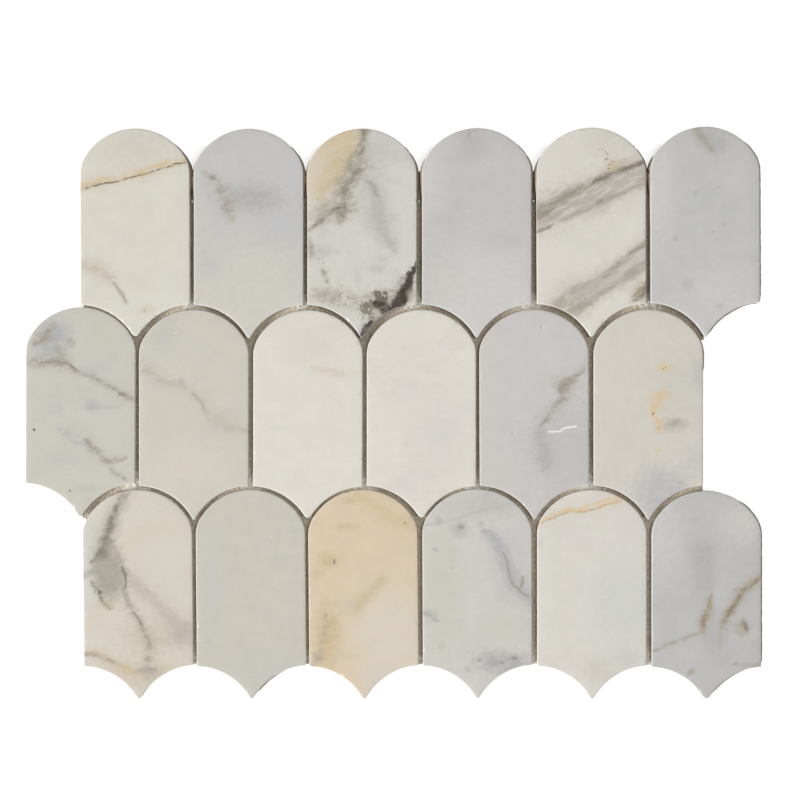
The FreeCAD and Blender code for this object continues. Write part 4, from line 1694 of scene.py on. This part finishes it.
@dataclass
class JointGlue:
    """The glue film that closes the net's meshes under the joints.

    It climbs the walls a little, the net's strands show in it as faint ribs, and where three chips
    meet it was pressed up and dried whitish.

    Lengths and heights are in millimetres.  The tip gap, the joint lap and the open end are angles
    round a crown, in radians.  The film's shares are where its points lie from wall to wall.  The
    bead's section goes round a bead: how far out, as a share of its width, and how high.
    """

    chips: dict[tuple[int, int], MarbleChip]
    shape: ChipShape
    step: float = 0.35
    flank_levels: tuple[float, ...] = (3.5, 5.0, 5.8)
    row_levels: tuple[float, ...] = (3.8, 4.8)
    film_tops: tuple[float, ...] = (7.4, 14.0, 14.0)
    full_joint: tuple[int, int, int] = (1, 1, -1)
    full_level: float = 7.0
    film_back: float = 0.06
    foot_inset: float = 0.3
    foot_lap: float = 0.8
    tip_gap: float = 0.02
    joint_lap: float = 0.035
    open_end: float = 0.04
    lump_height: float = 0.16
    rib_pitch: float = 3.5
    rib_height: float = 0.14
    rib_reach: float = 0.35
    climb_reach: float = 0.25
    frost_reach: float = 5.5
    spotted_joints: tuple[int, ...] = (1, 3, 4)
    spot_place: float = -6.0
    spot_reach: float = 0.7
    spot_height: float = 6.3
    # Beads up the notch walls and along the free edges, dark brown as a painted shadow
    notch_bead_left: Bead = Bead(-5.0, 21.0, 1.15, 8.0, 18.0)
    notch_bead_right: Bead = Bead(-5.0, 14.0, 1.0, 8.0, 11.0)
    edge_beads: tuple[tuple[tuple[int, int], Bead], ...] = (
        ((1, 6), Bead(-51.0, 20.0, 0.75)),
        ((1, 6), Bead(-66.0, -51.5, 0.75)),
        ((2, 6), Bead(-2.0, 14.0, 0.75)),
        ((3, 2), Bead(-64.0, -53.0, 0.65)),
        ((3, 6), Bead(-51.0, 22.0, 0.75)),
        ((3, 6), Bead(-64.0, -52.0, 0.75)),
    )
    film_shares: tuple[float, ...] = (
        -0.15, 0.0, 0.05, 0.12, 0.24, 0.36, 0.5, 0.64, 0.76, 0.88, 0.95, 1.0, 1.15,
    )
    bead_section: tuple[Point, ...] = (
        (-0.3, 0.1), (0.9, 0.1), (1.0, 6.0), (0.8, 8.4), (0.4, 9.15), (0.0, 9.35), (-0.3, 0.6),
    )
    points: list[Point3] = field(default_factory=list)
    faces: list[tuple[int, ...]] = field(default_factory=list)
    frost_and_shadow: list[float] = field(default_factory=list)

    def meeting_places(self) -> list[Vector]:
        """Where the flank joints end, in a row joint or at the foot of the sheet."""
        # At the foot of the sheet the whitish film about these places is partly painted light coming in at
        # the open ends of the joints; elsewhere it is glue pressed up.
        places = []
        foot = self.shape.scallop_radius - self.shape.row_pitch
        for (row, column), chip in self.chips.items():
            if (row, column + 1) in self.chips:
                places.append(Vector(chip.to_sheet((self.shape.column_pitch / 2, foot - 0.6))))
        return places

    def spots(self) -> list[Vector]:
        """Where a drop of glue dried white in a joint of the first row."""
        middle = self.shape.column_pitch / 2
        spot = (middle, self.spot_place)
        return [Vector(self.chips[1, column].to_sheet(spot)) for column in self.spotted_joints]

    def height_and_frost(
        self, x: float, y: float, near_wall: float, places: list[Vector], level: float
    ) -> Point:
        """How high the film stands at a place, and how whitish it is there.

        Args:
            x: the place's x in metres.
            y: the place's y in metres.
            near_wall: how far the nearer wall is, in millimetres.
            places: where the film is whitest.
            level: how high the film stands on the whole, in millimetres.

        Returns:
            The height in millimetres and the whiteness from 0 to 1.
        """
        lump = noise.noise(Vector((x * 700, y * 700, 3.0)))
        slow = noise.noise(Vector((x * 150, y * 150, 8.0)))
        apart = min((place - Vector((x, y))).length for place in places) / MM
        near_meeting = math.exp(-((apart / self.frost_reach) ** 2))
        pitch = self.rib_pitch * MM
        off_rib = min(abs(x / pitch - 0.5 - round(x / pitch - 0.5)), abs(y / pitch - round(y / pitch)))
        rib = math.exp(-((off_rib * self.rib_pitch / self.rib_reach) ** 2))
        climb = (0.7 + 0.6 * slow) * math.exp(-near_wall / self.climb_reach)
        height = level + self.lump_height * lump + self.rib_height * rib + climb
        height += near_meeting * (1.2 + 1.3 * lump + 0.8 * slow)
        off_spot = min((spot - Vector((x, y))).length for spot in self.spots()) / MM
        spot = math.exp(-((off_spot / self.spot_reach) ** 2))
        height += self.spot_height * spot
        # Whitish near the meetings, where glue was pressed up; at the open ends at the sheet's foot this
        # also paints the light that comes in there.
        frost_and_shadow = near_meeting * (0.95 + 0.9 * lump) + 0.24 * slow + 0.3 * lump + 1.2 * spot
        return max(0.2, height), min(1.0, max(0.0, frost_and_shadow))

    def strip(self, walls: Sequence[tuple[Point, Point]], places: list[Vector], level: float) -> None:
        """Adds a closed strip of film between two walls.

        Args:
            walls: at each step along the joint, the points on its two walls, in metres.
            places: where the film is whitest.
            level: how high the film stands on the whole, in millimetres.
        """
        around = len(self.film_shares) + 2
        first = len(self.points)
        under_chip = self.shape.net_thickness * 0.98
        for one, other in walls:
            gap = math.dist(one, other) / MM
            ring = []
            for share in self.film_shares:
                x = one[0] + (other[0] - one[0]) * share
                y = one[1] + (other[1] - one[1]) * share
                height, frost_and_shadow = under_chip, 0.0
                if 0.0 <= share <= 1.0:
                    near_wall = min(share, 1.0 - share) * gap
                    height, frost_and_shadow = self.height_and_frost(x, y, near_wall, places, level)
                ring.append((x, y, height * MM))
                self.frost_and_shadow.append(frost_and_shadow)
            ring += [(*ring[end][:2], self.film_back * MM) for end in (-1, 0)]
            self.points += ring
            self.frost_and_shadow += [0.0, 0.0]
        self.close_rings(first, len(walls), around)

    def close_rings(self, first: int, count: int, around: int) -> None:
        """Skins a run of rings of points and closes it at both ends, its faces looking outwards.

        Each ring turns anticlockwise to someone who looks along the run.

        Args:
            first: the number of the first ring's first point.
            count: how many rings there are.
            around: how many points each ring has.
        """
        last = first + (count - 1) * around
        for ring in range(first, last, around):
            for k in range(around):
                a, b = ring + k, ring + (k + 1) % around
                self.faces.append((a, a + around, b + around, b))
        self.faces.append(tuple(range(first, first + around)))
        self.faces.append(tuple(reversed(range(last, last + around))))

    def flank_walls(self, left: MarbleChip, right: MarbleChip, top: float) -> list[tuple[Point, Point]]:
        """The two walls of the joint between neighbours in a row.

        Args:
            left: the chip on the left.
            right: the chip on the right.
            top: how high over the crowns' centres the film begins, in millimetres.

        Returns:
            Pairs of points from the top down.
        """
        foot = self.shape.scallop_radius - self.shape.row_pitch
        foot += self.foot_inset if left.row == max(self.chips)[0] else -self.foot_lap
        count = round((top - foot) / self.step)
        walls = []
        for i in range(count + 1):
            y = top + (foot - top) * i / count
            reach = self.shape.half_width_at(y)
            walls.append((left.to_sheet((reach, y)), right.to_sheet((-reach, y))))
        return walls

    def scallop_walls(self, upper: MarbleChip, lower: MarbleChip, side: int) -> list[tuple[Point, Point]]:
        """The two walls of the joint between a crown and the scallop over it.

        Args:
            upper: the chip whose scallop it is.
            lower: the chip whose crown it is.
            side: which scallop, -1 for the left and 1 for the right.

        Returns:
            Pairs of points, on the crown and on the scallop, clockwise round the crown.
        """
        shape = self.shape
        centre = Vector(upper.to_sheet((side * shape.column_pitch / 2, -shape.row_pitch)))
        offset = centre - Vector(lower.crown.xy)
        radius = shape.scallop_radius * MM
        tip = math.acos((shape.column_pitch - upper.tip.value) / 2 / shape.scallop_radius) - self.tip_gap
        past = self.joint_lap if (upper.row, upper.column + side) in self.chips else -self.open_end
        first, last = (math.pi - tip, math.pi / 2 - past) if side > 0 else (math.pi / 2 + past, tip)
        count = round((first - last) * shape.scallop_radius / self.step)
        walls = []
        for i in range(count + 1):
            angle = first + (last - first) * i / count
            ray = Vector((math.cos(angle), math.sin(angle)))
            on_ray = offset.dot(ray)
            reach = on_ray + math.sqrt(radius**2 - offset.length_squared + on_ray**2)
            inner = Vector(lower.crown.xy) + ray * shape.crown_reach(angle) * MM
            outer = Vector(lower.crown.xy) + ray * reach
            walls.append((tuple(inner), tuple(outer)))
        return walls

    def add_bead(self, chip: MarbleChip, side: int, bead: Bead) -> None:
        """Adds a bead of glue along a wall of a chip, dark brown as a painted shadow.

        Args:
            chip: the chip.
            side: which side of it, -1 for the left and 1 for the right.
            bead: where the bead runs and how thick it is.
        """
        outline = self.shape.outline(chip.tip, 0.0)
        count = len(outline)
        run = [i for i, (x, y) in enumerate(outline) if x * side > 0.4 and bead.low <= y <= bead.high]
        gap = next((k for k in range(1, len(run)) if run[k] != run[k - 1] + 1), 0)
        run = run[gap:] + run[:gap]
        first, base = len(self.points), self.bead_section[0][1]
        for i in run:
            before, after = Vector(outline[i - 1]), Vector(outline[(i + 1) % count])
            along = (after - before).normalized()
            out = Vector((along.y, -along.x))
            y = outline[i][1]
            taper = max(0.0, min(1.0, (y - bead.low) / bead.rise, (bead.high - y) / bead.fade)) ** 0.65
            lump = noise.noise(Vector((*outline[i], 7.0 * chip.row + chip.column)) * 0.5)
            thick = bead.width * taper * (1.0 + 0.2 * lump) + 0.01
            climb = min(1.0, (2.6 + 2.2 * lump) * taper)
            # How far the bead takes the darker brown of a painted shadow, kept below zero in the same
            # attribute as the whiteness.
            shadow_share = min(1.0, 2.0 * taper) * (1.3 - 0.3 * lump) - 0.4
            for share, height in self.bead_section:
                x, y = Vector(outline[i]) + out * (thick * share)
                self.points.append((*chip.to_sheet((x, y)), (base + (height - base) * climb) * MM))
                self.frost_and_shadow.append(-shadow_share)
        self.close_rings(first, len(run), len(self.bead_section))

    def build(self) -> bpy.types.Object:
        """Lays the film under every joint and the beads on the walls.

        Returns:
            Their object.
        """
        places = self.meeting_places()
        for (row, column), chip in self.chips.items():
            beside = self.chips.get((row, column + 1))
            if beside:
                walls = self.flank_walls(chip, beside, self.film_tops[row - 1])
                self.strip(walls, places, self.flank_levels[row - 1])
                if row == 1:
                    # Dark beads up both walls of the notch, a painted shadow there.
                    self.add_bead(chip, 1, self.notch_bead_left)
                    self.add_bead(beside, -1, self.notch_bead_right)
            for side in (-1, 1):
                step = (side + 1) // 2 if row % 2 else (side - 1) // 2
                below = self.chips.get((row + 1, column + step))
                if below:
                    full = (row, column, side) == self.full_joint
                    level = self.full_level if full else self.row_levels[row - 1]
                    self.strip(self.scallop_walls(chip, below, side), places, level)
            # Dark beads along the free edges, a painted shadow there.
            for place, bead in self.edge_beads:
                if place == (row, column):
                    self.add_bead(chip, 1, bead)
        film = mesh_object("glue_film", self.points, self.faces, DriedGlue().material())
        whiteness = film.data.attributes.new("frost_and_shadow", "FLOAT", "POINT")
        whiteness.data.foreach_set("value", self.frost_and_shadow)
        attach(film, "root")
        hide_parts("net_backing")
        return film


@dataclass
class Studio:
    """A pale floor, soft light from the left and a camera straight above the sheet.

    The photo's width and the middle of the sheet in it are in its pixels.  Places, the lamps'
    sizes and the floor's reach are in metres.
    """

    pixels: float = 800.0
    mm_a_pixel: float = 0.4390
    sheet_middle: Point = (393.3, 412.9)
    camera_height: float = 1.0
    sensor: float = 36.0
    key_place: Point3 = (-2.85, -1.5, 2.25)
    key_size: float = 1.35
    key_power: float = 142.0
    overhead_place: Point3 = (0.35, 0.0, 1.8)
    overhead_size: float = 0.7
    overhead_power: float = 10.0
    room_strength: float = 0.15
    floor_reach: float = 3.0
    lit_card: str = "#A8A8A8"
    seen_card: str = "#D8D8D8"
    card_glow: float = 0.72

    def floor(self) -> None:
        """Lays a floor that is white to the camera, apart from the sheet's shadow on it."""
        material, tree = new_material("white_card_floor")
        path = add_node(tree, "LightPath")
        seen = add_node(tree, "Math", {
            0: path.outputs["Is Camera Ray"], 1: path.outputs["Is Glossy Ray"],
        }, operation="MAXIMUM")
        seen_too = add_node(
            tree, "Math", {0: seen, 1: path.outputs["Is Transmission Ray"]}, operation="MAXIMUM"
        )
        card = add_node(tree, "BsdfDiffuse", {"Color": linear(self.lit_card)})
        glow = add_node(tree, "Emission", {"Color": linear("#FFFFFF"), "Strength": self.card_glow})
        pale = add_node(tree, "BsdfDiffuse", {"Color": linear(self.seen_card)})
        bright = add_node(tree, "AddShader", {0: pale, 1: glow})
        shaded = add_node(tree, "MixShader", {0: seen_too, 1: card, 2: bright})
        add_node(tree, "OutputMaterial", {0: shaded})
        far = self.floor_reach
        corners = [(-far, -far, 0.0), (far, -far, 0.0), (far, far, 0.0), (-far, far, 0.0)]
        floor = mesh_object("floor", corners, [(0, 1, 2, 3)], material)
        floor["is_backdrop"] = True

    def lamp(self, name: str, place: Point3, size: float, power: float) -> None:
        """Hangs a square soft box that faces the middle of the sheet.

        Args:
            name: the lamp's name.
            place: where it hangs, in metres.
            size: the length of its sides in metres.
            power: its power in watts.
        """
        data = bpy.data.lights.new(name, "AREA")
        data.size = size
        data.energy = power
        lamp = bpy.data.objects.new(name, data)
        lamp.location = place
        lamp.rotation_euler = (-Vector(place)).to_track_quat("-Z", "Y").to_euler()
        bpy.context.scene.collection.objects.link(lamp)

    def lights(self) -> None:
        """Hangs a key light on the left and one overhead, and lights the room evenly."""
        self.lamp("key_light", self.key_place, self.key_size, self.key_power)
        self.lamp("overhead_light", self.overhead_place, self.overhead_size, self.overhead_power)
        world = bpy.data.worlds.new("even_room")
        world.use_nodes = True
        world.node_tree.nodes.clear()
        background = add_node(
            world.node_tree, "Background", {"Color": linear("#FFFFFF"), "Strength": self.room_strength}
        )
        add_node(world.node_tree, "OutputWorld", {0: background})
        bpy.context.scene.world = world

    def camera(self, face_height: float) -> None:
        """Hangs the camera over the photo's middle, looking straight down with +y up.

        Args:
            face_height: the height of the chips' faces, in metres.
        """
        data = bpy.data.cameras.new("camera")
        data.type = "PERSP"
        data.sensor_width = self.sensor
        data.sensor_fit = "HORIZONTAL"
        data.lens = self.sensor * self.camera_height / (self.pixels * self.mm_a_pixel * MM)
        camera = bpy.data.objects.new("camera", data)
        middle = self.pixels / 2
        camera.location = (
            (middle - self.sheet_middle[0]) * self.mm_a_pixel * MM,
            (self.sheet_middle[1] - middle) * self.mm_a_pixel * MM,
            face_height + self.camera_height,
        )
        camera.rotation_euler = (0.0, 0.0, 0.0)
        bpy.context.scene.collection.objects.link(camera)
        bpy.context.scene.camera = camera


# How each chip was laid, row by row: its turn in degrees anticlockwise, and its tip
TURNS = ((0.2, 0.0, 0.0, 0.0, 0.2, 0.2), (-0.2, 0.0, -0.1, 0.0, 0.2, 0.0), (0.6, 0.5, 0.5, 0.2, 0.0, 0.0))
TIPS = (
    (Tip.BROAD, Tip.BLUNT, Tip.SHARP, Tip.BLUNT, Tip.BLUNT, Tip.SHARP),
    (Tip.BLUNT, Tip.SHARP, Tip.BROAD, Tip.BROAD, Tip.SHARP, Tip.SHARP),
    (Tip.BLUNT, Tip.BLUNT, Tip.BLUNT, Tip.BLUNT, Tip.BLUNT, Tip.BROAD),
)


def main() -> None:
    """Builds the sheet over its frame, and the studio round it."""
    logging.basicConfig(level=logging.INFO, format="%(name)s: %(message)s")
    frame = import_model()
    cad_bounds = [list(corner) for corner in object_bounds()]
    shape = ChipShape()
    chips: dict[tuple[int, int], MarbleChip] = {}
    for row, laid in enumerate(zip(MARBLES, TURNS, TIPS), start=1):
        for column, (marble, turn, tip) in enumerate(zip(*laid), start=1):
            chip = MarbleChip(row, column, turn, tip, marble, shape)
            piece = chip.build()
            chips[row, column] = chip
            log.info("%s: %d faces", piece.name, len(piece.data.polygons))
    net = NetBacking(frame["nodes"]["net_backing"])
    for piece in (*net.build(), JointGlue(chips, shape).build()):
        log.info("%s: %d faces", piece.name, len(piece.data.polygons))
    studio = Studio()
    studio.floor()
    studio.lights()
    studio.camera(cad_bounds[1][2])
    bpy.context.scene.view_settings.view_transform = "Standard"


if __name__ == "__main__":
    main()
